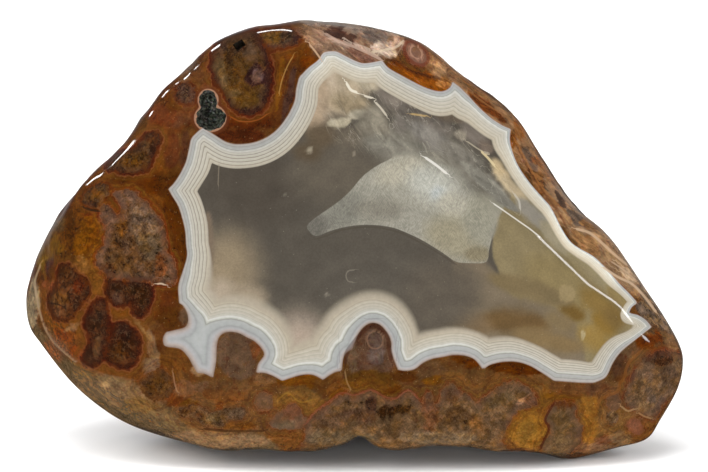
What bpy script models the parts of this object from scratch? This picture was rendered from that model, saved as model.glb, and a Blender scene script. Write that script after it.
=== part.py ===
"""Agate nodule: one polished stone that stands on a small flat at its lower edge.

The stone is described in the frame of its polished face, in millimetres: u runs to the right, v runs up the face
and w points straight out of it. The face leans back by FACE_LEAN, so that frame is tilted when the stone is placed.
"""

import math

import bmesh
import bpy
import numpy as np
from mathutils import Matrix

MM = 0.001

# Main sizes of the stone
FACE_LEAN = math.radians(12.0)
FACE_HEIGHT = 19.0
FACE_DOME_RADIUS = 200.0
BACK_DEPTH = 22.0
BACK_DOME_RADIUS = 160.0
FLAT_BELOW_CENTRE = 33.5
HEART = (0.0, -2.0, -2.0)

# The widest level of the rim, which lies further forward at the right, and how far the rim draws in from there
WAIST_LEVEL = 1.5
WAIST_SLOPE = 0.08
WAIST_SPAN = 22.0
FRONT_TAPER = 0.05
BACK_TAPER = 0.13

# The small ripples of the outline fade out over these distances in front of the waist and behind it
RIPPLE_FRONT_SPAN = 13.0
RIPPLE_BACK_SPAN = 12.0
RIPPLE_SMOOTHING = math.radians(16.0)

# Rounding of the edges, as the width over which two surfaces blend
FRONT_RIM_ROUNDING = 5.5
BACK_RIM_ROUNDING = 13.0

# Outline of the stone seen square to its face, clockwise from the top: (u, v)
OUTLINE = (
    (-8.6, 34.6), (-2.2, 34.2), (4.3, 33.2), (10.8, 31.2), (17.3, 26.9), (23.7, 22.3), (27.1, 19.0),
    (30.1, 14.1), (33.5, 8.9), (37.0, 4.5), (41.7, -0.3), (46.3, -7.7), (49.4, -12.6), (52.0, -17.4),
    (52.5, -20.6), (51.5, -24.6), (48.8, -29.4), (46.6, -32.4), (41.8, -33.8), (37.0, -35.1),
    (33.8, -35.6), (29.8, -34.7), (25.0, -34.3), (20.2, -34.0), (15.4, -33.4), (11.4, -33.4),
    (7.4, -34.2), (3.7, -33.9), (1.0, -31.8), (-1.4, -33.2), (-5.8, -34.3), (-13.4, -34.0),
    (-21.4, -34.2), (-27.8, -33.0), (-35.3, -30.7), (-40.6, -27.8), (-45.6, -23.5), (-50.3, -17.6),
    (-52.4, -14.4), (-52.9, -10.2), (-52.2, -6.7), (-50.0, -0.6), (-47.0, 4.2), (-43.0, 8.9),
    (-37.2, 14.6), (-32.5, 20.7), (-27.5, 26.3), (-23.5, 29.9), (-20.9, 32.0), (-17.9, 33.1), (-13.4, 33.7),
)

# Facets of the front: a point on the edge where each starts, the way it falls, its tilt from the face, how
# softly it starts, and where its edge strays from straight as (distance along the edge, offset) pairs
FRONT_FACETS = (
    {"start": (-1.0, 24.2), "falls": 50.1, "tilt": 45.0, "softness": 0.8,
     "edge": ((-20.0, 2.4), (-12.4, 1.6), (-4.6, 0.8), (0.0, -0.4), (4.7, 0.3), (8.0, -0.1), (17.0, -1.4),
              (21.0, -1.1), (31.0, -0.2), (38.5, 0.45), (43.5, 0.1), (49.5, -0.3), (56.0, 0.4), (63.5, -0.6))},
    {"start": (-3.4, 29.8), "falls": 70.0, "tilt": 62.0, "softness": 1.5,
     "edge": ((-20.0, 3.0), (-5.0, 1.0), (0.0, 0.0), (9.0, 0.9), (20.0, 3.0), (40.0, 12.0))},
    {"start": (-38.5, -22.6), "falls": 238.0, "tilt": 50.0, "softness": 3.0,
     "edge": ((-30.0, 6.0), (-12.0, 1.0), (0.0, 0.0), (12.0, 0.5), (28.0, 6.0))},
    {"start": (-48.3, -6.0), "falls": 186.0, "tilt": 60.0, "softness": 2.0,
     "edge": ((-30.0, 3.0), (0.0, 0.0), (30.0, 3.0))},
)

# A broad slope of the natural back, and its lumps and dents: (u, v, height, spread)
BACK_SLOPE = {"start": (-14.0, 6.0), "falls": 118.0, "tilt": 30.0, "softness": 8.0,
              "edge": ((-60.0, 4.0), (-20.0, 0.0), (0.0, 1.5), (20.0, 0.0), (60.0, 5.0))}
BACK_LUMPS = (
    (24.0, -10.0, 2.2, 13.0),
    (-26.0, -12.0, 1.6, 11.0),
    (2.0, 4.0, -2.2, 10.0),
    (12.0, 16.0, 1.4, 7.0),
    (-8.0, -22.0, -1.2, 8.0),
    (38.0, -20.0, -1.4, 6.0),
    (-40.0, 0.0, 1.2, 7.0),
)

# The open vug: three overlapping hollows, each as centre (u, v), half width, half height and depth
VUG_LOBES = (
    {"centre": (-22.85, 21.3), "half_width": 1.4, "half_height": 1.5, "depth": 3.0},
    {"centre": (-22.8, 19.9), "half_width": 1.25, "half_height": 1.3, "depth": 3.0},
    {"centre": (-22.5, 18.45), "half_width": 2.3, "half_height": 1.95, "depth": 4.0},
)
VUG_ROUGHNESS = 0.10

# The square pit at the top
PIT_CENTRE = (-18.0, 29.9)
PIT_SIDE = 1.7
PIT_DEPTH = 0.9
PIT_TURN = math.radians(14.0)

# Mesh
GRID_ACROSS = 38
GRID_UP = 25
GRID_THROUGH = 15
HALF_SPANS = (52.0, 35.0, 20.0)
SPLINE_STEPS = 16
ANGLE_STEPS = 1440
BISECTIONS = 40
FAR = 90.0

# Where the rim is measured: even steps around it, over these slopes up and down from the heart
RIM_CHECKS = 240
RIM_CHECK_LEVEL = math.radians(30.0)
RIM_CHECK_LEVELS = 25
RIM_HOLD = 3

# Look of the plain solid
STONE_COLOUR = (0.24, 0.13, 0.06, 1.0)
STONE_ROUGHNESS = 0.15


def smooth_max(first, second, width):
    """The larger of two fields, with the crease between them rounded over the given width."""
    overlap = np.maximum(width - np.abs(first - second), 0.0)
    return np.maximum(first, second) + overlap * overlap / (4.0 * width)


def closed_curve(points, steps):
    """A smooth closed curve through the points (Catmull-Rom)."""
    knots = np.array(points)
    before = np.roll(knots, 1, axis=0)
    after = np.roll(knots, -1, axis=0)
    beyond = np.roll(knots, -2, axis=0)
    rows = []
    for t in np.arange(steps) / steps:
        rows.append(0.5 * (2.0 * knots + (after - before) * t
                           + (2.0 * before - 5.0 * knots + 4.0 * after - beyond) * t * t
                           + (3.0 * knots - before - 3.0 * after + beyond) * t ** 3))
    return np.stack(rows, axis=1).reshape(-1, 2)


def reach_tables():
    """Distance from the heart to the outline for even steps of angle: as it is, and with its ripples smoothed."""
    curve = closed_curve(OUTLINE, SPLINE_STEPS) - np.array(HEART[:2])
    angles = np.arctan2(curve[:, 1], curve[:, 0])
    radii = np.hypot(curve[:, 0], curve[:, 1])
    order = np.argsort(angles)
    steps = np.linspace(-math.pi, math.pi, ANGLE_STEPS, endpoint=False)
    rippled = np.interp(steps, angles[order], radii[order], period=2.0 * math.pi)
    kernel = np.exp(-0.5 * (steps / RIPPLE_SMOOTHING) ** 2)
    kernel = np.roll(kernel / kernel.sum(), ANGLE_STEPS // 2)
    smoothed = np.fft.irfft(np.fft.rfft(rippled) * np.fft.rfft(kernel), ANGLE_STEPS)
    return steps, rippled, smoothed


def outline_reach(u, v, w, tables):
    """Distance from the heart to the rim, in the direction of each (u, v) and at the level w."""
    steps, rippled, smoothed = tables
    wanted = np.arctan2(v - HEART[1], u - HEART[0])
    above = w - WAIST_LEVEL - WAIST_SLOPE * u
    span = np.where(above > 0.0, RIPPLE_FRONT_SPAN, RIPPLE_BACK_SPAN)
    share = np.clip(1.0 - np.abs(above) / span, 0.0, 1.0)
    share = share * share * (3.0 - 2.0 * share)
    fine = np.interp(wanted, steps, rippled, period=2.0 * math.pi)
    plain = np.interp(wanted, steps, smoothed, period=2.0 * math.pi)
    return plain + (fine - plain) * share


def rim_field(u, v, w, tables):
    """Negative inside the rim, whose walls bulge at the waist and draw in to the front and back."""
    above = w - WAIST_LEVEL - WAIST_SLOPE * u
    taper = np.where(above > 0.0, FRONT_TAPER, BACK_TAPER)
    drawn_in = 1.0 - taper * (above / WAIST_SPAN) ** 2
    return np.hypot(u - HEART[0], v - HEART[1]) - outline_reach(u, v, w, tables) * drawn_in


def beyond_edge(facet, u, v):
    """How far each (u, v) lies past the edge where a facet starts."""
    turn = math.radians(facet["falls"])
    du = u - facet["start"][0]
    dv = v - facet["start"][1]
    along = du * math.sin(turn) - dv * math.cos(turn)
    places, offsets = np.array(facet["edge"]).T
    return du * math.cos(turn) + dv * math.sin(turn) - np.interp(along, places, offsets)


def facet_field(facet, u, v, w, level):
    """Negative below a facet that falls away from the level surface past its edge."""
    tilt = math.radians(facet["tilt"])
    return (w - level) * math.cos(tilt) + beyond_edge(facet, u, v) * math.sin(tilt)


def front_field(u, v, w):
    """Negative behind the polished face and its facets."""
    face = FACE_HEIGHT - (u * u + v * v) / (2.0 * FACE_DOME_RADIUS)
    field = w - face
    for facet in FRONT_FACETS:
        field = smooth_max(field, facet_field(facet, u, v, w, face), facet["softness"])
    return field


def back_field(u, v, w):
    """Negative in front of the natural back."""
    depth = BACK_DEPTH - (u * u + v * v) / (2.0 * BACK_DOME_RADIUS)
    for lump_u, lump_v, height, spread in BACK_LUMPS:
        depth = depth + height * np.exp(-((u - lump_u) ** 2 + (v - lump_v) ** 2) / (2.0 * spread ** 2))
    return smooth_max(-w - depth, facet_field(BACK_SLOPE, u, v, -w, depth), BACK_SLOPE["softness"])


def stone_field(u, v, w, tables):
    """Negative inside the stone, before the flat and the hollows are cut."""
    field = smooth_max(rim_field(u, v, w, tables), front_field(u, v, w), FRONT_RIM_ROUNDING)
    return smooth_max(field, back_field(u, v, w), BACK_RIM_ROUNDING)


def surface_points(directions, tables):
    """Where rays from the heart in the given directions leave the stone."""
    heart = np.array(HEART)
    inside = np.zeros(len(directions))
    outside = np.full(len(directions), FAR)
    for _ in range(BISECTIONS):
        middle = 0.5 * (inside + outside)
        points = heart + directions * middle[:, None]
        within = stone_field(points[:, 0], points[:, 1], points[:, 2], tables) < 0.0
        inside = np.where(within, middle, inside)
        outside = np.where(within, outside, middle)
    return heart + directions * inside[:, None]


def fill_outline(points, tables):
    """Push the rim out to the outline where the rounding of the edges has drawn it in."""
    steps, rippled, _ = tables
    around = np.linspace(-math.pi, math.pi, RIM_CHECKS, endpoint=False)
    levels = np.linspace(-RIM_CHECK_LEVEL, RIM_CHECK_LEVEL, RIM_CHECK_LEVELS)
    angle, level = np.meshgrid(around, levels)
    directions = np.stack((np.cos(angle), np.sin(angle), np.tan(level)), axis=-1).reshape(-1, 3)
    directions /= np.linalg.norm(directions, axis=1)[:, None]
    checked = surface_points(directions, tables) - np.array(HEART)
    widest = np.hypot(checked[:, 0], checked[:, 1]).reshape(angle.shape).max(axis=0)
    growth = np.interp(around, steps, rippled, period=2.0 * math.pi) / widest
    offset = points - np.array(HEART)
    turned = np.arctan2(offset[:, 1], offset[:, 0])
    across = np.hypot(offset[:, 0], offset[:, 1]) / np.interp(turned, around, widest, period=2.0 * math.pi)
    factor = 1.0 + (np.interp(turned, around, growth, period=2.0 * math.pi) - 1.0) * across ** RIM_HOLD
    return points + offset * (factor - 1.0)[:, None] * np.array((1.0, 1.0, 0.0))


def face_level(u, v, tables):
    """Height of the front surface above a point (u, v) of the face frame."""
    inside = 0.0
    outside = FAR
    for _ in range(BISECTIONS):
        middle = 0.5 * (inside + outside)
        if stone_field(np.array([u]), np.array([v]), np.array([middle]), tables)[0] < 0.0:
            inside = middle
        else:
            outside = middle
    return inside


def face_to_world():
    """The matrix that leans the face frame back and stands it up, centred over the origin."""
    sine = math.sin(FACE_LEAN)
    cosine = math.cos(FACE_LEAN)
    return Matrix(((1.0, 0.0, 0.0, 0.0),
                   (0.0, sine, -cosine, 0.0),
                   (0.0, cosine, sine, FLAT_BELOW_CENTRE),
                   (0.0, 0.0, 0.0, 1.0)))


def box_grid(bm):
    """A unit cube of six grids, welded along its edges, with more cells where the stone is wider."""
    sides = (
        (GRID_ACROSS, GRID_UP, Matrix.Identity(4)),
        (GRID_ACROSS, GRID_UP, Matrix.Rotation(math.pi, 4, "X")),
        (GRID_ACROSS, GRID_THROUGH, Matrix.Rotation(math.pi / 2, 4, "X")),
        (GRID_ACROSS, GRID_THROUGH, Matrix.Rotation(-math.pi / 2, 4, "X")),
        (GRID_THROUGH, GRID_UP, Matrix.Rotation(math.pi / 2, 4, "Y")),
        (GRID_THROUGH, GRID_UP, Matrix.Rotation(-math.pi / 2, 4, "Y")),
    )
    for cells_x, cells_y, turn in sides:
        lift = Matrix.Translation((0.0, 0.0, 1.0))
        bmesh.ops.create_grid(bm, x_segments=cells_x, y_segments=cells_y, size=1.0, matrix=turn @ lift)
    bmesh.ops.remove_doubles(bm, verts=bm.verts, dist=0.001)


def stone_material(name):
    """Brown polished stone."""
    material = bpy.data.materials.new(name)
    material.use_nodes = True
    shader = material.node_tree.nodes["Principled BSDF"]
    shader.inputs["Base Color"].default_value = STONE_COLOUR
    shader.inputs["Roughness"].default_value = STONE_ROUGHNESS
    shader.inputs["Metallic"].default_value = 0.0
    return material


def link_object(name, bm):
    """Make an object from a bmesh and put it in the scene."""
    mesh = bpy.data.meshes.new(name)
    bm.to_mesh(mesh)
    bm.free()
    made = bpy.data.objects.new(name, mesh)
    bpy.context.scene.collection.objects.link(made)
    return made


def make_stone(tables):
    """The body of the stone, and the matrix that places the face frame in the world, in metres."""
    bm = bmesh.new()
    box_grid(bm)
    unit = np.array([vert.co[:] for vert in bm.verts])
    spread = np.tan(unit * (math.pi / 4)) * np.array(HALF_SPANS)
    directions = spread / np.linalg.norm(spread, axis=1)[:, None]
    placing = face_to_world()
    for vert, point in zip(bm.verts, fill_outline(surface_points(directions, tables), tables)):
        vert.co = placing @ Matrix.Translation(point).translation
    lowest_x = min(vert.co.x for vert in bm.verts)
    highest_x = max(vert.co.x for vert in bm.verts)
    lowest_y = min(vert.co.y for vert in bm.verts)
    highest_y = max(vert.co.y for vert in bm.verts)
    centring = Matrix.Translation((-(lowest_x + highest_x) / 2, -(lowest_y + highest_y) / 2, 0.0))
    to_metres = Matrix.Scale(MM, 4) @ centring
    bm.transform(to_metres)
    bmesh.ops.recalc_face_normals(bm, faces=bm.faces)
    stone = link_object("agate_nodule", bm)
    stone.data.materials.append(stone_material("polished_agate"))
    stone.data.shade_smooth()
    return stone, to_metres @ placing


def cut(stone, cutter):
    """Take the cutter's shape out of the stone, and leave the cutter as a wire guide."""
    cutter.hide_render = True
    cutter.display_type = "WIRE"
    boolean = stone.modifiers.new("cut_" + cutter.name, "BOOLEAN")
    boolean.operation = "DIFFERENCE"
    boolean.solver = "EXACT"
    boolean.object = cutter


def make_floor_cutter():
    """A block below the flat that the stone rests on."""
    bm = bmesh.new()
    bmesh.ops.create_cube(bm, size=1.0)
    width = 4.0 * HALF_SPANS[0] * MM
    bm.transform(Matrix.Translation((0.0, 0.0, -width / 2)) @ Matrix.Scale(width, 4))
    return link_object("flat_cutter", bm)


def make_vug_lobe(number, lobe, placing, tables):
    """One hollow of the vug: a lumpy half-sunk ball that faces out of the polished face."""
    bm = bmesh.new()
    bmesh.ops.create_icosphere(bm, subdivisions=3, radius=1.0)
    for vert in bm.verts:
        ripple = math.sin(5.0 * vert.co.x + number) * math.sin(4.0 * vert.co.y) * math.sin(6.0 * vert.co.z + 1.0)
        vert.co *= 1.0 + VUG_ROUGHNESS * ripple
    u, v = lobe["centre"]
    stretch = Matrix.Diagonal((lobe["half_width"], lobe["half_height"], lobe["depth"], 1.0))
    bm.transform(placing @ Matrix.Translation((u, v, face_level(u, v, tables))) @ stretch)
    return link_object("vug_cutter_" + str(number), bm)


def make_pit_cutter(placing, tables):
    """The small square pit."""
    u, v = PIT_CENTRE
    bm = bmesh.new()
    bmesh.ops.create_cube(bm, size=1.0)
    stretch = Matrix.Diagonal((PIT_SIDE, PIT_SIDE, 2.0 * PIT_DEPTH, 1.0))
    turn = Matrix.Rotation(PIT_TURN, 4, "Z")
    bm.transform(placing @ Matrix.Translation((u, v, face_level(u, v, tables))) @ turn @ stretch)
    return link_object("pit_cutter", bm)


def main():
    """Build the stone and its cuts."""
    for old in list(bpy.data.objects):
        bpy.data.objects.remove(old, do_unlink=True)
    tables = reach_tables()
    stone, placing = make_stone(tables)
    cut(stone, make_floor_cutter())
    for number, lobe in enumerate(VUG_LOBES, start=1):
        cut(stone, make_vug_lobe(number, lobe, placing, tables))
    cut(stone, make_pit_cutter(placing, tables))


main()
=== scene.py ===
"""Looks of the agate nodule: its polished face with the banded heart, its mottled rind and its natural back.

The stone is rebuilt finely from the same sizes as its solid, in millimetres in the frame of its polished
face: u runs right, v up the face and w out of it. The markings are placed by where they are seen in the
photograph's 708 x 472 frame, and are carried by the mesh as distances and tints that the material reads.
"""

import itertools
import math

import bmesh
import bpy
import numpy as np
from mathutils import Matrix, Vector

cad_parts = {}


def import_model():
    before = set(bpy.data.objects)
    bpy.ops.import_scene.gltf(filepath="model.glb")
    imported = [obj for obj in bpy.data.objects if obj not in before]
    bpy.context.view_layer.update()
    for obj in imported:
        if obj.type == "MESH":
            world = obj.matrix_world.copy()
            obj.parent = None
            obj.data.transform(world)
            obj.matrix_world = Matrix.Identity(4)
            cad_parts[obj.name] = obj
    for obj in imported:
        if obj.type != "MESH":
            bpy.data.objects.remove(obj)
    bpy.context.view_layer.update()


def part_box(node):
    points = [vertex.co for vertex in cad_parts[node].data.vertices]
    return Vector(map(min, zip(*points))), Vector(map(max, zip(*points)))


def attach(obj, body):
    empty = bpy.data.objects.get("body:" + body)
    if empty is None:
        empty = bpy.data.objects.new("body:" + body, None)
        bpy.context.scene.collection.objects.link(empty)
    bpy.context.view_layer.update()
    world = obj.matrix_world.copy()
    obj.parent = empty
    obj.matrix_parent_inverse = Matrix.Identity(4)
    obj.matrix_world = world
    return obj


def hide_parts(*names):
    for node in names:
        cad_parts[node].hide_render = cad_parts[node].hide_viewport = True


MM = 0.001
FULL_TURN = 2.0 * math.pi

# Main sizes of the stone, as in its solid
FACE_LEAN = math.radians(12.0)
FACE_HEIGHT = 19.0
FACE_DOME_RADIUS = 200.0
BACK_DEPTH = 22.0
BACK_DOME_RADIUS = 160.0
FLAT_BELOW_CENTRE = 33.5
HEART = (0.0, -2.0, -2.0)
WAIST_LEVEL = 1.5
WAIST_SLOPE = 0.08
WAIST_SPAN = 22.0
FRONT_TAPER = 0.05
BACK_TAPER = 0.13
RIPPLE_FRONT_SPAN = 13.0
RIPPLE_BACK_SPAN = 12.0
RIPPLE_SMOOTHING = math.radians(16.0)
FRONT_RIM_ROUNDING = 5.5
BACK_RIM_ROUNDING = 13.0
HALF_SPANS = (52.0, 35.0)

# Outline of the stone seen square to its face, clockwise from the top: (u, v)
OUTLINE = (
    (-8.6, 34.6), (-2.2, 34.2), (4.3, 33.2), (10.8, 31.2), (17.3, 26.9), (23.7, 22.3), (27.1, 19.0),
    (30.1, 14.1), (33.5, 8.9), (37.0, 4.5), (41.7, -0.3), (46.3, -7.7), (49.4, -12.6), (52.0, -17.4),
    (52.5, -20.6), (51.5, -24.6), (48.8, -29.4), (46.6, -32.4), (41.8, -33.8), (37.0, -35.1),
    (33.8, -35.6), (29.8, -34.7), (25.0, -34.3), (20.2, -34.0), (15.4, -33.4), (11.4, -33.4),
    (7.4, -34.2), (3.7, -33.9), (1.0, -31.8), (-1.4, -33.2), (-5.8, -34.3), (-13.4, -34.0),
    (-21.4, -34.2), (-27.8, -33.0), (-35.3, -30.7), (-40.6, -27.8), (-45.6, -23.5), (-50.3, -17.6),
    (-52.4, -14.4), (-52.9, -10.2), (-52.2, -6.7), (-50.0, -0.6), (-47.0, 4.2), (-43.0, 8.9),
    (-37.2, 14.6), (-32.5, 20.7), (-27.5, 26.3), (-23.5, 29.9), (-20.9, 32.0), (-17.9, 33.1), (-13.4, 33.7),
)

# Facets of the front: a point on the edge where each starts, the way it falls, its tilt from the face, how
# softly it starts, and where its edge strays from straight: (distance along the edge, offset)
FRONT_FACETS = (
    {"start": (-1.0, 24.2), "falls": 50.1, "tilt": 45.0, "softness": 0.8,
     "edge": ((-20.0, 2.4), (-12.4, 1.6), (-4.6, 0.8), (0.0, -0.4), (4.7, 0.3), (8.0, -0.1), (17.0, -1.4),
              (21.0, -1.1), (31.0, -0.2), (38.5, 0.45), (43.5, 0.1), (49.5, -0.3), (56.0, 0.4),
              (63.5, -0.6))},
    {"start": (-3.4, 29.8), "falls": 70.0, "tilt": 62.0, "softness": 1.5,
     "edge": ((-20.0, 3.0), (-5.0, 1.0), (0.0, 0.0), (9.0, 0.9), (20.0, 3.0), (40.0, 12.0))},
    {"start": (-38.5, -22.6), "falls": 238.0, "tilt": 50.0, "softness": 3.0,
     "edge": ((-30.0, 6.0), (-12.0, 1.0), (0.0, 0.0), (12.0, 0.5), (28.0, 6.0))},
    {"start": (-48.3, -6.0), "falls": 186.0, "tilt": 60.0, "softness": 2.0,
     "edge": ((-30.0, 3.0), (0.0, 0.0), (30.0, 3.0))},
)

# The way the facets on the right fall
FACET_TURN = math.radians(50.0)

# A broad slope of the natural back, and its lumps and dents: (u, v, height, spread)
BACK_SLOPE = {"start": (-14.0, 6.0), "falls": 118.0, "tilt": 30.0, "softness": 8.0,
              "edge": ((-60.0, 4.0), (-20.0, 0.0), (0.0, 1.5), (20.0, 0.0), (60.0, 5.0))}
BACK_LUMPS = (
    (24.0, -10.0, 2.2, 13.0),
    (-26.0, -12.0, 1.6, 11.0),
    (2.0, 4.0, -2.2, 10.0),
    (12.0, 16.0, 1.4, 7.0),
    (-8.0, -22.0, -1.2, 8.0),
    (38.0, -20.0, -1.4, 6.0),
    (-40.0, 0.0, 1.2, 7.0),
)

# The open vug: overlapping hollows, each as centre (u, v), half width, half height and depth
VUG_LOBES = (
    {"centre": (-22.85, 21.3), "half_width": 1.4, "half_height": 1.5, "depth": 3.0},
    {"centre": (-22.8, 19.9), "half_width": 1.25, "half_height": 1.3, "depth": 3.0},
    {"centre": (-22.5, 18.45), "half_width": 2.3, "half_height": 1.95, "depth": 4.0},
)
VUG_ROUGHNESS = 0.12
VUG_SUBDIVISIONS = 5

# Lumps of the vug's wall: (how many across, height, seed)
VUG_LUMPS = ((2.2, 1.0, 30), (6.0, 0.6, 40))

# The square pit at the top
PIT_CENTRE = (-18.0, 29.9)
PIT_SIDE = 1.7
PIT_DEPTH = 0.9
PIT_TURN = math.radians(14.0)

# Mesh: cells of the cube that is blown up into the stone, the front's doubled once, and steps of the search
# for its surface and for its rim
GRID_ACROSS = 154
GRID_UP = 102
GRID_THROUGH = 18
SPLINE_STEPS = 16
ANGLE_STEPS = 1440
BISECTIONS = 40
FAR = 90.0
RIM_CHECKS = 240
RIM_CHECK_LEVEL = math.radians(30.0)
RIM_CHECK_LEVELS = 25
RIM_HOLD = 3
SHARP_ANGLE = math.radians(50.0)
WELD = 0.001
CUBE_END = 0.9999

# Where rays from the heart meet the front: share of the cube's side, share of the reach and height
FRONT_SHARES = (0.0, 0.78, 0.88, 1.0)
FRONT_REACHES = (0.0, 0.83, 0.95, 1.0)
FRONT_HEIGHTS = (21.0, 19.0, 14.0, 0.0)
RIM_BELOW_WAIST = 1.5
BACK_EDGE_REACH = 0.9
BACK_EDGE_HEIGHT = -15.0
BACK_CENTRE_HEIGHT = -20.0

# Relief of the natural back: (size of its lumps, height), always inward, and the levels where it sets in
BACK_RELIEF = ((9.0, 0.5), (3.2, 0.35), (1.3, 0.18))
BACK_WEAR_LEVELS = (-1.0, -7.0)

# Wear of the polished rim: (size of its lumps, height), and where it starts as shares of the reach and levels
RIM_RELIEF = ((3.8, 0.58), (1.7, 0.14))
RIM_WEAR_REACHES = (0.86, 0.95)
RIM_WEAR_LEVELS = (1.0, 4.0)

# Camera: as far from the face as the photograph's was
CAMERA_DISTANCE = 632.33
LENS = 200.0
SENSOR = 36.0
CLIP_START = 0.01
PHOTO_WIDTH = 708
PHOTO_CENTRE = (354.0, 236.0)
PIXELS_PER_SLOPE = PHOTO_WIDTH * LENS / SENSOR
MM_PER_PIXEL = 0.16

# Light: how bright a white surface of the front comes out, how much the white floor sends back, the range
# over which the looks make up for the light that a slope gets, and the floor's light in the polish
LIGHT_LEVEL = 1.58
FLOOR_BOUNCE = 0.7
LIGHT_RANGE = (0.5, 1.3)
FLOOR_GLOW = 0.03

# Edge of the banded heart, seen in the photograph, as runs that meet in cusps: (x, y)
FORTIFICATION = {
    "left_shoulder": (
        (203, 127), (196, 133), (191, 139), (189, 148), (186, 161), (182, 170), (178, 177), (173, 184)),
    "left_side": (
        (168, 189), (172, 196), (178, 206), (182, 218), (185, 231), (186, 245), (187, 255), (184, 267),
        (179, 282), (178, 290)),
    "left_knob": ((179, 303), (183, 306), (187, 313), (188, 321), (185, 327), (175, 330)),
    "lower_left_tip": ((166, 332), (163, 338), (164, 345)),
    "amber_dome": ((168, 347), (180, 349), (188, 357), (193, 366)),
    "lower_left_foot": ((197, 373), (205, 374)),
    "first_pillar": (
        (213, 378), (216, 362), (217, 345), (220, 336), (228, 332), (238, 333), (246, 337), (254, 341),
        (261, 348), (264, 355), (258, 364)),
    "low_hump": ((256, 373), (264, 373), (273, 376)),
    "amber_hump": ((282, 381), (291, 378), (302, 375), (313, 375)),
    "second_foot": ((323, 380), (330, 375), (336, 372)),
    "second_pillar": (
        (342, 371), (343, 360), (346, 353), (352, 349), (355, 342), (359, 333), (365, 326), (372, 323),
        (380, 325), (387, 333), (391, 342), (391, 351), (394, 360)),
    "brown_hump": (
        (398, 370), (406, 371), (415, 369), (423, 363), (432, 359), (443, 357), (454, 355), (466, 356),
        (475, 360)),
    "long_hump": ((483, 370), (490, 365), (503, 362), (517, 362), (530, 366), (542, 373)),
    "lower_right": ((554, 381), (568, 382), (583, 383)),
    "right_rise": ((594, 383), (606, 377), (613, 363), (621, 352), (634, 341), (643, 334)),
    "right_tip": ((652, 327), (646, 320), (638, 315)),
    "right_notch": ((629, 313), (632, 307)),
    "facet_edge": (
        (638, 303), (629, 293), (620, 284), (612, 275), (604, 266), (593, 256), (579, 248), (570, 241),
        (562, 229), (556, 217), (550, 206), (543, 198), (530, 183), (519, 167), (513, 153), (510, 140)),
    "upper_right": ((511, 129), (502, 125), (490, 117), (478, 106), (469, 96), (460, 87)),
    "top_right": ((452, 81), (450, 87), (443, 91), (433, 90), (420, 85), (403, 76), (389, 68)),
    "top": ((382, 60), (373, 62), (363, 63), (354, 60), (344, 55), (335, 51)),
    "top_left_step": ((323, 52), (318, 60), (309, 67)),
    "upper_left_arc": (
        (299, 77), (296, 89), (294, 102), (286, 118), (274, 132), (258, 141), (240, 144), (227, 142),
        (215, 135)),
}

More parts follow.
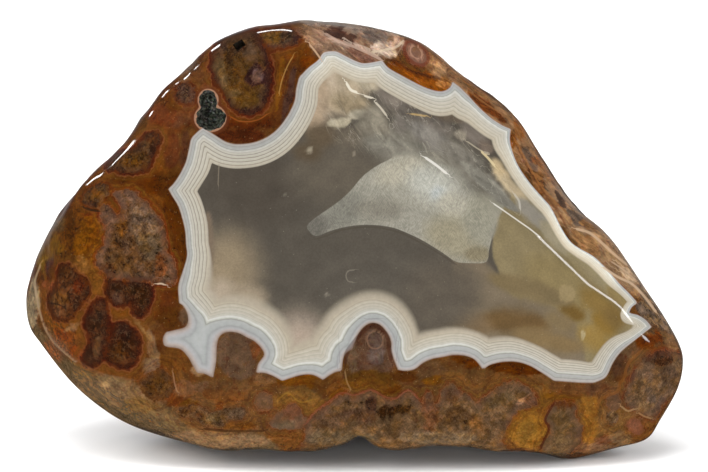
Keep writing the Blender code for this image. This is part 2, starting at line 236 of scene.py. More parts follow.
# Lobes of moss, seen in the photograph: tint, how strongly their rings show, and outline (x, y)
MOSS_LOBES = {
    "top_left_lobe": {"tint": (84, 58, 37), "halo": 1.0, "outline": (
        (222, 36), (240, 32), (258, 31), (263, 45), (267, 55), (271, 68), (271, 82), (269, 97), (265, 107),
        (256, 113), (246, 115), (236, 111), (229, 103), (224, 93), (217, 86), (213, 76), (211, 64),
        (214, 50))},
    "top_lobe": {"tint": (82, 54, 34), "halo": 0.8, "outline": (
        (262, 33), (275, 28), (288, 27), (298, 33), (299, 42), (290, 46), (275, 49), (265, 45))},
    "upper_left_lobe": {"tint": (86, 58, 30), "halo": 1.0, "outline": (
        (106, 168), (112, 158), (120, 152), (130, 149), (137, 146), (141, 139), (148, 134), (156, 133),
        (160, 138), (158, 147), (154, 155), (151, 163), (146, 170), (136, 173), (125, 173), (115, 171))},
    "dark_patch_by_the_vug": {"tint": (86, 56, 40), "halo": 0.6, "outline": (
        (176, 90), (183, 84), (190, 84), (196, 92), (194, 100), (187, 104), (178, 101))},
    "great_lobe": {"tint": (90, 64, 42), "halo": 1.0, "outline": (
        (113, 192), (118, 190), (128, 189), (136, 191), (140, 196), (145, 200), (150, 206), (156, 213),
        (162, 221), (165, 232), (167, 243), (168, 252), (173, 256), (176, 265), (176, 275), (175, 284),
        (166, 284), (156, 284), (146, 281), (134, 283), (122, 280), (110, 279), (104, 274), (98, 268),
        (95, 260), (97, 252), (102, 247), (104, 238), (106, 230), (103, 224), (100, 216), (99, 208),
        (103, 203), (109, 206), (114, 212), (119, 216), (121, 208), (117, 201), (113, 196))},
    "great_foot": {"tint": (60, 34, 16), "halo": 0.9, "outline": (
        (107, 282), (115, 280), (125, 283), (135, 281), (146, 283), (152, 288), (152, 298), (150, 306),
        (146, 313), (139, 316), (133, 310), (130, 300), (126, 304), (119, 306), (112, 303), (107, 296))},
    "left_rim_moss": {"tint": (88, 58, 24), "halo": 0.6, "outline": (
        (82, 198), (88, 190), (98, 184), (106, 184), (109, 190), (106, 198), (100, 206), (91, 208),
        (83, 204))},
    "maroon_lobe": {"tint": (82, 48, 24), "halo": 0.7, "outline": (
        (59, 269), (67, 265), (78, 273), (87, 284), (88, 295), (82, 302), (76, 310), (70, 318), (62, 320),
        (54, 316), (50, 308), (49, 298), (52, 290), (57, 281))},
    "tall_dark_lobe": {"tint": (68, 40, 22), "halo": 1.0, "outline": (
        (98, 300), (104, 301), (108, 310), (108, 325), (107, 340), (104, 352), (100, 362), (93, 366),
        (86, 364), (82, 357), (88, 348), (90, 338), (86, 330), (84, 322), (89, 312), (93, 304))},
    "ringed_lobe": {"tint": (68, 36, 14), "halo": 1.0, "outline": (
        (114, 325), (122, 322), (130, 326), (136, 332), (140, 342), (139, 352), (135, 362), (127, 368),
        (116, 366), (108, 360), (106, 350), (110, 340), (112, 332))},
    "lower_left_moss": {"tint": (86, 54, 24), "halo": 0.3, "outline": (
        (138, 384), (143, 378), (150, 372), (158, 367), (166, 371), (172, 379), (174, 390), (168, 397),
        (160, 402), (150, 400), (142, 393))},
    "crystal_streak": {"tint": (96, 70, 42), "halo": 0.3, "outline": (
        (176, 412), (183, 406), (194, 404), (203, 408), (212, 412), (222, 410), (232, 408), (244, 408),
        (247, 414), (240, 420), (228, 422), (222, 428), (212, 428), (203, 424), (194, 418), (186, 418),
        (178, 415))},
    "red_peak": {"tint": (104, 76, 52), "halo": 0.5, "outline": (
        (268, 421), (276, 414), (284, 408), (292, 403), (298, 406), (303, 414), (309, 420), (300, 428),
        (285, 430), (272, 428))},
    "bottom_lobe": {"tint": (96, 72, 46), "halo": 0.8, "outline": (
        (306, 424), (310, 418), (316, 412), (323, 407), (330, 402), (336, 398), (341, 394), (347, 393),
        (353, 396), (359, 395), (365, 392), (371, 391), (378, 394), (385, 398), (391, 400), (397, 399),
        (402, 394), (408, 391), (414, 393), (418, 399), (424, 404), (423, 399), (425, 394), (430, 392),
        (434, 396), (434, 403), (438, 402), (440, 394), (443, 388), (448, 384), (454, 384), (459, 389),
        (464, 394), (470, 396), (476, 402), (484, 398), (492, 391), (500, 385), (508, 381), (516, 381),
        (524, 384), (531, 389), (536, 395), (537, 402), (533, 407), (526, 409), (519, 412), (514, 418),
        (509, 424), (506, 432), (503, 441), (500, 470), (310, 470), (304, 440))},
    "standing_moss": {"tint": (96, 74, 48), "halo": 0.8, "outline": (
        (553, 404), (558, 401), (566, 401), (574, 404), (576, 410), (573, 415), (578, 419), (582, 425),
        (582, 435), (580, 443), (572, 452), (558, 470), (545, 470), (541, 447), (547, 437), (549, 428),
        (545, 420), (546, 413), (550, 408))},
    "ringed_spot": {"tint": (100, 72, 48), "halo": 0.5, "outline": (
        (606, 398), (611, 395), (617, 395), (621, 400), (621, 406), (616, 411), (610, 410), (606, 405))},
    "grey_spot": {"tint": (95, 75, 52), "halo": 0.3, "outline": (
        (608, 413), (613, 411), (618, 414), (618, 421), (612, 425), (606, 420))},
    "red_spot": {"tint": (114, 70, 46), "halo": 0.5, "outline": (
        (627, 421), (633, 418), (640, 421), (644, 428), (640, 434), (632, 433), (627, 428))},
    "right_lobe": {"tint": (94, 72, 50), "halo": 1.0, "outline": (
        (640, 362), (645, 357), (653, 353), (664, 350), (674, 352), (684, 356), (690, 372), (683, 388),
        (674, 396), (665, 403), (659, 413), (654, 420), (647, 418), (640, 414), (632, 410), (626, 404),
        (625, 395), (627, 386), (631, 376), (635, 368))},
    # The two lobes on the facets have paler tints: their moss with a painted haze of reflected light
    "eye_on_the_facet": {"tint": (138, 98, 78), "halo": 0.8, "outline": (
        (404, 45), (408, 41), (414, 42), (420, 46), (426, 52), (428, 60), (424, 66), (418, 66), (411, 62),
        (406, 54))},
    "facet_moss": {"tint": (120, 100, 80), "halo": 0.2, "outline": (
        (638, 303), (644, 300), (652, 303), (662, 312), (670, 323), (673, 334), (664, 331), (655, 326),
        (646, 321), (640, 314), (636, 308))},
    "swirl": {"tint": (108, 78, 50), "halo": 0.7, "outline": (
        (264, 392), (271, 395), (274, 402), (271, 409), (264, 412), (257, 409), (254, 402), (257, 395))},
}

# Looks of parts of the rind, laid one over another: (x, y, half width, half height, turn, softness, look)
RIND_PATCHES = {
    "amber_beside_the_white": (
        (175, 238, 13, 62, 0, 7, 80, 42, 8), (165, 185, 14, 10, 0, 5, 78, 42, 12),
        (130, 182, 24, 6, -5, 3, 84, 44, 14), (150, 186, 12, 6, 0, 4, 80, 40, 8)),
    "upper_left": (
        (172, 122, 18, 14, 0, 6, 100, 56, 26), (181, 120, 10, 8, 0, 3, 100, 60, 36),
        (172, 150, 8, 17, 5, 4, 92, 50, 26), (186, 150, 6, 22, 0, 4, 84, 50, 30),
        (160, 116, 14, 12, 0, 5, 110, 58, 30)),
    "above_the_vug": (
        (190, 72, 12, 8, -35, 3, 108, 78, 54), (200, 76, 9, 9, 0, 3, 105, 66, 38),
        (208, 65, 4, 9, 0, 2, 84, 42, 24), (213, 68, 4, 12, 0, 2, 70, 42, 28),
        (197, 86, 5, 5, 0, 2, 122, 84, 46), (218, 82, 6, 6, 0, 1, 94, 58, 24),
        (206, 88, 8, 3, 0, 1, 118, 78, 46), (190, 110, 7, 11, 0, 3, 104, 64, 38),
        (180, 98, 7, 6, 0, 3, 80, 50, 32), (224, 106, 5, 14, -15, 2, 96, 54, 30),
        (241, 122, 26, 8, 0, 3, 78, 36, 12), (240, 135, 28, 7, 0, 4, 74, 34, 14),
        (264, 122, 8, 8, 0, 4, 74, 34, 12), (272, 80, 4, 28, 2, 2, 68, 28, 14),
        (280, 84, 3, 30, 8, 2, 106, 66, 20), (289, 94, 4.5, 30, 12, 2, 76, 50, 38),
        (297, 104, 3.5, 26, 14, 2, 92, 42, 10), (300, 52, 16, 12, 0, 4, 100, 56, 18),
        (304, 42, 8, 6, 0, 3, 112, 66, 26), (309, 62, 11, 8, 0, 3, 112, 58, 12)),
    "left_side": (
        (50, 246, 10, 26, -12, 4, 110, 74, 22), (57, 222, 7, 9, 0, 3, 104, 76, 44),
        (73, 238, 5, 26, -4, 3, 78, 44, 14), (64, 262, 13, 8, 0, 4, 78, 48, 20),
        (89, 240, 13, 28, 4, 1.5, 106, 62, 12), (92, 214, 10, 3, 0, 1.5, 92, 42, 16),
        (104, 222, 3, 9, -15, 1.5, 112, 74, 52), (83, 266, 8, 8, 0, 3, 120, 82, 40),
        (95, 280, 8, 15, 0, 4, 110, 70, 26), (86, 315, 6, 17, 10, 3, 88, 50, 20),
        (47, 285, 7, 5, 0, 2, 124, 68, 36), (38, 294, 5, 7, 0, 2, 122, 80, 38),
        (31, 306, 6, 30, 6, 2, 136, 118, 92), (44, 262, 6, 18, -16, 3, 116, 84, 28)),
    "lower_left": (
        (64, 336, 11, 7, 30, 5, 106, 54, 22), (76, 352, 9, 7, 20, 5, 98, 48, 20),
        (130, 392, 14, 8, 24, 5, 82, 60, 42), (130, 176, 12, 5, 0, 4, 64, 34, 8),
        (390, 388, 12, 6, 0, 4, 76, 42, 8), (52, 270, 8, 9, 0, 4, 76, 38, 8),
        (72, 327, 10, 2.2, -30, 1, 118, 88, 60), (58, 348, 9, 12, -40, 4, 114, 72, 44),
        (111, 322, 5, 22, 0, 3, 90, 47, 14), (118, 312, 13, 5, 0, 3, 96, 54, 14),
        (140, 326, 4, 12, -34, 2, 128, 96, 60), (152, 346, 6, 18, -14, 2, 122, 92, 62),
        (162, 300, 14, 20, 0, 5, 84, 42, 16), (170, 316, 12, 9, 0, 4, 80, 45, 14),
        (148, 325, 10, 5, 0, 3, 106, 68, 34)),
    # The wide pale patches at (118, 392) and (200, 441) are the rind's tint with a painted haze of the
    # floor's reflection
    "bottom_left": (
        (184, 316, 5, 9, 0, 2, 98, 72, 50), (150, 368, 8, 10, 20, 2, 112, 88, 66),
        (177, 362, 14, 17, -20, 1.5, 98, 60, 24), (181, 377, 10, 5, 0, 3, 96, 62, 30),
        (198, 372, 8, 5, 20, 3, 138, 104, 70), (118, 392, 42, 12, 10, 10, 114, 90, 62),
        (124, 395, 13, 9, 0, 3, 108, 84, 58), (106, 385, 4, 3, 0, 1, 140, 110, 74),
        (142, 405, 16, 8, 0, 4, 106, 80, 46), (178, 399, 12, 7, 0, 2, 94, 50, 20),
        (191, 405, 11, 4, 0, 2, 82, 52, 14), (185, 389, 9, 7, 0, 2, 112, 76, 48),
        (203, 385, 7, 6, 0, 2, 106, 76, 50), (212, 393, 8, 8, 0, 3, 102, 64, 32),
        (229, 396, 16, 12, 0, 4, 108, 68, 34), (221, 406, 4, 6, 0, 2, 102, 56, 24),
        (240, 426, 19, 6, 0, 3, 100, 62, 24), (200, 441, 70, 9, 0, 4, 120, 94, 66),
        (230, 386, 16, 8, 0, 4, 100, 68, 38), (237, 356, 23, 26, 0, 4, 96, 72, 52),
        (255, 353, 5, 10, 0, 2, 104, 62, 34), (266, 379, 14, 5, 0, 3, 110, 78, 48)),
    "bottom_middle": (
        (300, 382, 23, 7, 0, 3, 106, 62, 14), (292, 388, 14, 3, 0, 2, 102, 70, 34),
        (296, 402, 26, 12, 0, 3, 110, 78, 38), (330, 384, 15, 11, -20, 3, 96, 60, 26),
        (338, 393, 9, 4, -30, 2, 96, 56, 14), (370, 352, 27, 28, 0, 4, 92, 66, 48),
        (366, 334, 16, 8, 0, 3, 84, 58, 42), (375, 340, 8, 8, 0, 1.5, 92, 72, 60),
        (376, 356, 9, 10, 0, 3, 100, 82, 72), (352, 358, 6, 16, 0, 3, 98, 76, 56),
        (370, 380, 27, 10, 0, 3, 90, 58, 20), (406, 376, 14, 6, 0, 3, 78, 44, 15)),
    "bottom_right": (
        (431, 370, 16, 10, 0, 2.5, 92, 64, 38), (470, 377, 26, 10, 0, 4, 96, 66, 34),
        (500, 381, 50, 9, 0, 4, 98, 66, 34), (431, 381, 11, 6, -10, 1.5, 95, 60, 16),
        (465, 362, 16, 6, 20, 1.5, 90, 46, 8), (515, 367, 31, 6, 5, 1.5, 80, 40, 6),
        (528, 428, 19, 19, 0, 1.5, 123, 86, 34), (526, 431, 9, 8, 0, 2, 122, 88, 36),
        (546, 402, 7, 20, 0, 3, 108, 74, 32), (566, 396, 22, 4, 0, 2, 96, 62, 18),
        (590, 420, 9, 32, 0, 2, 122, 84, 34), (574, 386, 26, 8, 0, 3, 98, 64, 34),
        (601, 388, 13, 8, 0, 3, 90, 60, 38), (619, 368, 10, 15, 20, 2, 78, 52, 34),
        (634, 350, 8, 7, 0, 2, 92, 64, 42), (617, 378, 6, 5, 0, 2, 80, 48, 24),
        (647, 341, 13, 7, -10, 2, 92, 46, 12), (660, 350, 10, 3, 0, 1.5, 98, 50, 22)),
    # (590, 448) along the bottom edge and (672, 345) on the rim of the right end: the rind's tint with a
    # painted haze of reflected light
    "right_end": (
        (603, 440, 7, 6, 0, 2, 110, 70, 44), (622, 438, 12, 6, 0, 3, 106, 82, 56),
        (590, 448, 34, 4, 0, 3, 116, 86, 60), (672, 345, 5, 16, 0, 3, 126, 96, 68)),
    # On the top facet the paler looks are the rind's tint with a painted haze of reflected light
    "top_facet": (
        (350, 24, 60, 8, 8, 3, 162, 140, 124), (318, 40, 15, 8, 30, 2, 172, 136, 110),
        (346, 44, 24, 6, 26, 2, 186, 154, 134), (336, 33, 12, 7, 15, 1.5, 88, 58, 46),
        (349, 39, 6, 5, 0, 1.5, 96, 66, 52), (361, 55, 17, 5, 22, 1.5, 138, 100, 82),
        (375, 37, 13, 6, 12, 1.5, 116, 100, 90), (384, 51, 14, 6, 12, 2, 226, 200, 178),
        (398, 43, 8, 6, 20, 1.5, 212, 178, 160), (434, 66, 10, 5, 24, 2, 180, 138, 100),
        (446, 56, 24, 6, 38, 3, 146, 110, 78), (418, 78, 34, 9, 24, 1.5, 134, 74, 18),
        (412, 71, 24, 4, 26, 2, 100, 52, 12), (443, 84, 9, 5, 10, 2, 176, 116, 58),
        (408, 68, 2.5, 3.5, 0, 1, 176, 156, 144)),
    # On the right facet too, the paler looks are the rind's tint with a painted haze of reflected light
    "right_strip": (
        (478, 84, 24, 8, 40, 3, 142, 100, 60), (500, 102, 18, 4, 42, 2, 122, 96, 66),
        (486, 106, 24, 4, 38, 2, 112, 60, 24), (522, 128, 8, 12, 0, 3, 146, 94, 48),
        (513, 142, 4, 8, 0, 2, 126, 74, 30), (521, 158, 5, 14, -28, 2, 142, 102, 66),
        (531, 160, 4, 12, -28, 1.5, 118, 94, 76), (541, 160, 4, 12, -28, 2, 142, 94, 56),
        (538, 184, 6, 12, -30, 2, 136, 92, 52), (550, 176, 4, 10, -28, 2, 140, 96, 60),
        (560, 197, 5, 11, -34, 1.5, 92, 70, 56), (548, 202, 5, 10, -34, 2, 134, 98, 64),
        (577, 218, 12, 5, 42, 1.5, 106, 88, 74), (563, 220, 5, 8, -30, 2, 162, 124, 86),
        (592, 224, 9, 6, 40, 2, 150, 108, 66), (586, 244, 19, 8, 42, 2, 160, 118, 76),
        (600, 238, 10, 4, 44, 2, 176, 138, 100), (612, 260, 12, 8, 42, 2, 160, 126, 90),
        (628, 277, 12, 5, 45, 2, 188, 160, 128), (640, 290, 10, 4, 50, 2, 132, 114, 96),
        (652, 304, 12, 6, 52, 2, 120, 100, 78)),
}

# Looks of parts of the moss, in the same way
MOSS_PATCHES = {
    "great_lobe": (
        (128, 196, 12, 9, 0, 2, 98, 72, 52), (107, 212, 8, 12, 0, 2, 92, 67, 48),
        (111, 232, 4, 12, 0, 2, 100, 70, 48), (122, 226, 6, 15, 0, 2, 98, 62, 24),
        (144, 225, 15, 19, 0, 4, 102, 80, 60), (150, 246, 15, 16, 0, 3, 96, 76, 52),
        (115, 246, 8, 16, 0, 3, 84, 56, 30), (122, 264, 15, 12, 0, 3, 84, 58, 32),
        (108, 270, 8, 9, 0, 2, 66, 38, 16), (165, 240, 3, 22, -5, 2, 104, 72, 44),
        (171, 268, 6, 17, 0, 2, 98, 68, 44), (160, 266, 6, 14, 0, 2, 104, 60, 30),
        (136, 286, 20, 10, 0, 4, 62, 36, 14), (117, 297, 6, 8, 0, 2, 80, 54, 40),
        (145, 296, 8, 10, 0, 2, 52, 30, 12), (140, 311, 8, 6, 0, 2, 66, 32, 10)),
    "maroon_lobe": (
        (60, 300, 9, 9, 0, 2, 96, 62, 28), (75, 295, 6, 8, 0, 2, 76, 44, 26),
        (80, 284, 6, 9, 0, 2, 76, 32, 12), (66, 271, 9, 5, 0, 2, 66, 38, 14),
        (60, 313, 9, 5, 0, 2, 94, 60, 32)),
    "tall_and_ringed_lobes": (
        (97, 346, 4, 12, 8, 1.5, 88, 62, 38), (100, 320, 4, 9, 0, 2, 56, 36, 24),
        (123, 334, 7, 8, 0, 2, 56, 30, 18), (118, 353, 10, 11, 0, 3, 74, 42, 14),
        (139, 345, 3, 12, 0, 1.5, 86, 40, 13)),
    "top_left_lobe": (
        (241, 74, 22, 36, 0, 4, 84, 56, 22), (221, 72, 6, 20, -12, 2, 106, 82, 50),
        (233, 96, 10, 10, 0, 3, 98, 74, 40), (247, 100, 13, 8, 0, 3, 84, 58, 22),
        (250, 52, 8, 11, 0, 2, 102, 76, 54), (222, 44, 6, 7, 0, 2, 74, 50, 36),
        (256, 74, 10, 12, 10, 1.5, 54, 30, 28), (256, 75, 6, 8, 10, 1.5, 100, 76, 70),
        (230, 58, 3, 9, 12, 1.5, 58, 38, 20), (239, 46, 8, 8, 14, 1.5, 66, 44, 26),
        (256, 36, 4, 8, 0, 2, 66, 40, 24), (268, 78, 3.5, 24, -2, 1.5, 44, 22, 22),
        (266, 48, 4, 9, -25, 1.5, 68, 40, 34), (248, 111, 18, 3, -4, 1.5, 42, 20, 18),
        (228, 103, 3, 8, 22, 1.5, 48, 26, 20), (266, 102, 3.5, 8, -24, 1.5, 46, 24, 20),
        (273, 37, 9, 6, 0, 2, 112, 78, 28), (290, 38, 8, 7, 0, 2, 66, 48, 34),
        (297, 38, 3, 6, 0, 1.5, 40, 24, 24)),
    "upper_left_lobe": (
        (138, 160, 12, 9, 0, 4, 80, 50, 14), (154, 148, 4, 12, 0, 2, 62, 34, 14),
        (150, 138, 7, 4, 0, 2, 82, 48, 20), (185, 96, 6, 6, 0, 2, 88, 62, 48)),
    "left_rim": ((93, 196, 7, 6, 0, 2, 94, 58, 14), (90, 206, 9, 3, 0, 1.5, 62, 36, 14)),
    "lower_left": (
        (160, 384, 9, 9, 0, 3, 78, 50, 20), (150, 390, 8, 8, 0, 3, 68, 40, 10),
        (188, 411, 10, 5, 0, 2, 76, 46, 16), (198, 415, 7, 6, 0, 2, 82, 52, 26),
        (213, 419, 8, 6, 0, 2, 106, 82, 46), (235, 413, 10, 6, 0, 2, 106, 82, 56)),
    "bottom_lobe": (
        (292, 412, 8, 6, 0, 2, 107, 68, 44), (282, 426, 14, 5, 0, 2, 101, 84, 62),
        (352, 403, 10, 4, 0, 1.5, 64, 42, 18), (372, 407, 6, 9, 0, 1.5, 62, 40, 26),
        (398, 409, 14, 7, 0, 2, 54, 34, 12), (387, 410, 11, 8, 0, 2, 48, 28, 9),
        (358, 415, 18, 9, 10, 3, 80, 56, 38), (330, 420, 16, 10, 0, 3, 88, 64, 42),
        (402, 429, 18, 8, 0, 3, 88, 66, 42), (430, 418, 9, 14, 0, 3, 97, 62, 36),
        (413, 412, 5, 4, 0, 1.5, 96, 74, 56), (416, 420, 5, 5, 0, 2, 72, 48, 34),
        (429, 398, 5, 5, 0, 1.5, 90, 60, 34), (451, 397, 9, 9, 0, 2, 88, 61, 38),
        (458, 414, 12, 10, 0, 3, 84, 60, 36), (468, 420, 7, 5, 0, 2, 72, 50, 28),
        (480, 427, 11, 8, 0, 3, 112, 79, 45), (497, 400, 15, 7, -15, 2, 91, 71, 46),
        (507, 397, 7, 6, 0, 2, 92, 72, 46), (493, 421, 8, 8, 0, 3, 101, 77, 52),
        (524, 399, 9, 2, -35, 1, 140, 106, 80), (531, 401, 6, 6, 0, 1.5, 94, 62, 38),
        # The two wide patches along the bottom edge are greyer: the moss with a painted haze of the floor's
        # reflection
        (340, 438, 40, 7, 0, 4, 96, 78, 54), (440, 438, 40, 7, 0, 3, 108, 88, 64)),
    "standing_moss": (
        (563, 404, 11, 3, 0, 1.5, 80, 44, 12), (562, 428, 14, 16, 0, 4, 92, 70, 42),
        (571, 433, 5, 6, 0, 2, 84, 64, 44)),
    "right_lobe": (
        (660, 358, 15, 8, 0, 3, 62, 36, 18), (650, 372, 9, 9, 0, 3, 92, 70, 50),
        (669, 377, 8, 11, 0, 3, 74, 56, 40), (641, 389, 9, 11, 0, 3, 96, 72, 46),
        (655, 396, 7, 12, 0, 3, 90, 72, 56), (633, 372, 3, 9, 15, 2, 82, 50, 30),
        (640, 408, 8, 6, 0, 2, 106, 80, 50)),
    "facet": (
        (417, 49, 5, 4, 0, 1.5, 146, 102, 68), (417, 57, 6, 6, 0, 2, 142, 104, 86),
        (655, 312, 8, 8, 0, 2, 112, 94, 76)),
}

# Band of the heart at places (x, y): its width, the share of it that is grey, how far it glows inward, its
# brightness and how crisp its lines are
BAND_PLACES = {
    "left": (180, 250, 21.0, 0.27, 0.5, 1.0, 1.0),
    "left_top": (200, 165, 25.0, 0.26, 0.5, 1.0, 1.0),
    "cusp": (195, 190, 23.0, 0.30, 1.5, 0.98, 1.0),
    "upper_left_arc": (250, 144, 24.0, 0.30, 0.4, 0.93, 1.0),
    "arc_right": (290, 110, 23.0, 0.30, 0.5, 0.98, 0.9),
    "top": (350, 60, 17.5, 0.28, 3.0, 1.2, 0.5),
    "top_right": (415, 85, 21.5, 0.27, 1.2, 1.06, 0.8),
    "top_right_end": (452, 98, 25.0, 0.24, 1.8, 1.08, 0.6),
    "right_shoulder": (482, 110, 17.0, 0.22, 2.0, 1.10, 0.45),
    # On the facets the band is brighter: its own white with a painted haze of reflected light
    "facet_top": (530, 182, 10.0, 0.12, 2.5, 1.26, 0.3),
    "facet_mid": (571, 238, 7.0, 0.12, 2.5, 1.5, 0.0),
    "facet_low": (600, 263, 8.5, 0.15, 2.5, 1.5, 0.0),
    "right_tip": (634, 300, 6.5, 0.34, 1.0, 1.2, 0.3),
    "low_tip": (645, 325, 10.5, 0.34, 2.0, 1.1, 0.6),
    "right": (617, 360, 17.0, 0.36, 2.5, 1.06, 0.9),
    "bottom_right": (570, 381, 21.5, 0.42, 2.5, 1.1, 1.0),
    "bottom": (500, 362, 23.0, 0.42, 6.0, 1.06, 0.8),
    "bottom_middle": (530, 366, 19.5, 0.42, 3.0, 1.06, 0.9),
    "bottom_step": (440, 358, 24.0, 0.46, 7.0, 1.08, 0.4),
    "second_pillar": (371, 322, 25.0, 0.44, 11.0, 0.98, 0.35),
    "by_second_pillar": (335, 345, 33.0, 0.42, 12.0, 1.03, 0.35),
    "between_pillars": (300, 375, 25.0, 0.44, 4.0, 1.07, 0.4),
    "first_pillar": (240, 333, 31.0, 0.47, 16.0, 1.0, 0.35),
    "lower_left": (195, 345, 37.0, 0.66, 12.0, 1.06, 0.25),
    "left_low": (180, 290, 27.0, 0.34, 9.0, 1.0, 0.8),
}
BAND_BLEND = 10.0
BAND_LEVEL = 0.9
GREY_END = 0.4

# The band from its outer edge inward: (share, look)
BAND_LAYERS = (
    (0.00, (140, 118, 100)), (0.035, (176, 162, 150)), (0.07, (186, 177, 172)), (0.13, (181, 178, 173)),
    (0.16, (156, 154, 148)), (0.19, (176, 175, 168)), (0.28, (180, 179, 176)), (0.325, (183, 182, 177)),
    (0.345, (142, 138, 128)), (0.365, (186, 186, 176)), (0.40, (200, 199, 190)), (0.43, (212, 209, 198)),
    (0.46, (188, 182, 171)), (0.50, (204, 199, 186)), (0.53, (200, 195, 181)), (0.55, (148, 140, 125)),
    (0.575, (204, 198, 185)), (0.64, (198, 192, 177)), (0.665, (146, 136, 119)), (0.69, (205, 199, 185)),
    (0.76, (198, 192, 176)), (0.785, (148, 138, 120)), (0.81, (205, 199, 184)), (0.88, (199, 192, 175)),
    (0.91, (160, 149, 130)), (0.94, (200, 192, 174)), (1.00, (188, 178, 160)),
)

# The same where the lines are faint
SOFT_LAYERS = (
    (0.00, (150, 128, 114)), (0.05, (184, 170, 162)), (0.10, (181, 181, 182)), (0.17, (166, 169, 168)),
    (0.21, (179, 182, 181)), (0.31, (184, 187, 183)), (0.35, (164, 165, 156)), (0.38, (204, 204, 194)),
    (0.41, (226, 225, 217)), (0.45, (224, 222, 213)), (0.49, (196, 193, 180)), (0.56, (206, 201, 187)),
    (0.62, (194, 186, 168)), (0.68, (206, 200, 184)), (0.75, (192, 182, 162)), (0.81, (202, 194, 176)),
    (0.88, (190, 179, 158)), (1.00, (186, 174, 152)),
)

# Looks of the grey heart, in the same way: wide patches, then areas with an outline, then smaller patches
CLEAR_BASE = (86, 80, 71)
CLEAR_WIDE = {
    "left": (
        (252, 188, 44, 38, 0, 50, 80, 73, 64), (228, 272, 30, 40, 0, 44, 144, 128, 104),
        (221, 294, 18, 14, 0, 18, 166, 151, 131), (208, 246, 6, 34, 0, 8, 118, 103, 87),
        (247, 299, 20, 14, 0, 18, 152, 137, 116)),
    "middle": (
        (300, 346, 24, 32, 0, 44, 173, 156, 139), (385, 285, 70, 40, 0, 50, 89, 83, 74),
        (335, 172, 44, 28, 0, 40, 99, 91, 79), (425, 155, 60, 24, 20, 34, 134, 128, 115),
        (500, 215, 30, 18, 30, 24, 148, 143, 126)),
}
CLEAR_AREAS = {
    "below_olive": {"look": (120, 107, 88), "softness": 7.0, "outline": (
        (452, 262), (457, 256), (480, 256), (500, 276), (530, 284), (560, 290), (586, 310), (600, 334),
        (600, 378), (520, 378), (455, 366), (448, 320), (452, 290))},
    "olive_right": {"look": (135, 121, 90), "softness": 2.5, "outline": (
        (495, 262), (492, 250), (495, 229), (502, 212), (530, 180), (590, 210), (650, 300), (650, 350),
        (610, 380), (588, 366), (581, 334), (576, 325), (568, 317), (558, 309), (545, 303), (530, 300),
        (515, 297), (507, 290), (501, 278))},
}
CLEAR_PATCHES = {
    "top": (
        (334, 84, 26, 34, 20, 34, 186, 168, 142), (328, 72, 16, 16, 0, 14, 206, 190, 168),
        (318, 104, 12, 30, 10, 18, 168, 148, 124), (352, 84, 20, 14, 20, 16, 172, 156, 132),
        (366, 80, 22, 8, 25, 10, 196, 182, 156), (396, 100, 22, 11, 30, 14, 128, 118, 107),
        (425, 119, 30, 11, 25, 14, 110, 102, 93), (350, 104, 20, 10, 10, 14, 150, 134, 108),
        (345, 136, 34, 10, 5, 14, 104, 95, 82), (320, 136, 14, 12, 0, 14, 96, 83, 66),
        (308, 152, 14, 10, 0, 12, 90, 78, 62), (340, 122, 12, 4.5, -6, 3, 184, 173, 148),
        (357, 115, 9, 5, -14, 4, 188, 178, 155), (372, 122, 14, 16, 20, 14, 142, 134, 118),
        (382, 138, 8, 12, 10, 8, 140, 132, 116), (400, 124, 8, 10, 20, 8, 130, 122, 112),
        (395, 146, 34, 10, 10, 16, 128, 123, 111), (430, 137, 26, 9, 34, 12, 134, 128, 119)),
    "shoulder": (
        (450, 116, 24, 6, 14, 7, 106, 94, 80), (474, 134, 16, 9, 40, 10, 124, 114, 104),
        (486, 147, 8, 6, 40, 6, 118, 104, 92), (461, 135, 6, 5, 30, 4, 148, 138, 122),
        (462, 156, 26, 8, 30, 12, 126, 120, 109), (484, 180, 28, 6, 38, 8, 150, 145, 132),
        (496, 194, 30, 5, 38, 7, 127, 123, 112), (501, 172, 6, 16, -35, 8, 196, 174, 136),
        (514, 190, 6, 20, -46, 9, 190, 172, 140)),
    # Between the ridge and the band, on the facet: the heart's tint with a painted haze of reflected light
    "facet": (
        (534, 215, 24, 8, 42, 9, 152, 145, 132), (558, 240, 26, 8, 46, 9, 163, 152, 126),
        (592, 275, 34, 7, 43, 8, 158, 144, 112), (618, 297, 16, 5, 42, 6, 150, 130, 88)),
    "olive": (
        (560, 282, 40, 22, 30, 26, 134, 118, 82), (572, 312, 14, 8, 30, 10, 112, 88, 46),
        (530, 290, 44, 10, 18, 16, 122, 106, 76), (600, 306, 24, 12, 42, 18, 130, 106, 60),
        (567, 293, 9, 9, 0, 3, 148, 130, 94), (594, 338, 18, 12, 30, 18, 144, 118, 66),
        (604, 324, 14, 8, 42, 12, 132, 104, 50), (614, 318, 12, 10, 30, 16, 120, 97, 56)),
    "low": (
        (466, 288, 14, 22, 0, 20, 108, 97, 82), (515, 322, 36, 12, 5, 20, 104, 82, 52),
        (468, 326, 22, 12, 0, 20, 122, 101, 74), (548, 340, 36, 10, 14, 18, 128, 107, 74),
        (560, 322, 16, 8, 30, 12, 128, 110, 80), (440, 300, 34, 40, 0, 44, 94, 86, 75)),
    "specks": (
        (309, 150, 3, 2.5, 0, 2, 150, 140, 120), (285, 195, 1.5, 1.5, 0, 1, 128, 120, 106),
        (354, 153, 1.5, 2, 0, 1, 138, 128, 112), (327, 294, 2, 2, 0, 1, 128, 120, 108),
        (255, 281, 1, 1, 0, 1, 150, 140, 122), (583, 335, 1.5, 5, 0, 1, 166, 150, 112)),
}

# Where a veil of fine scratches lies over the heart: (x, y, half width, half height, turn, softness)
VEIL_PATCHES = ((375, 118, 60, 32, 20, 30), (440, 140, 60, 24, 34, 26), (490, 180, 36, 16, 42, 18))
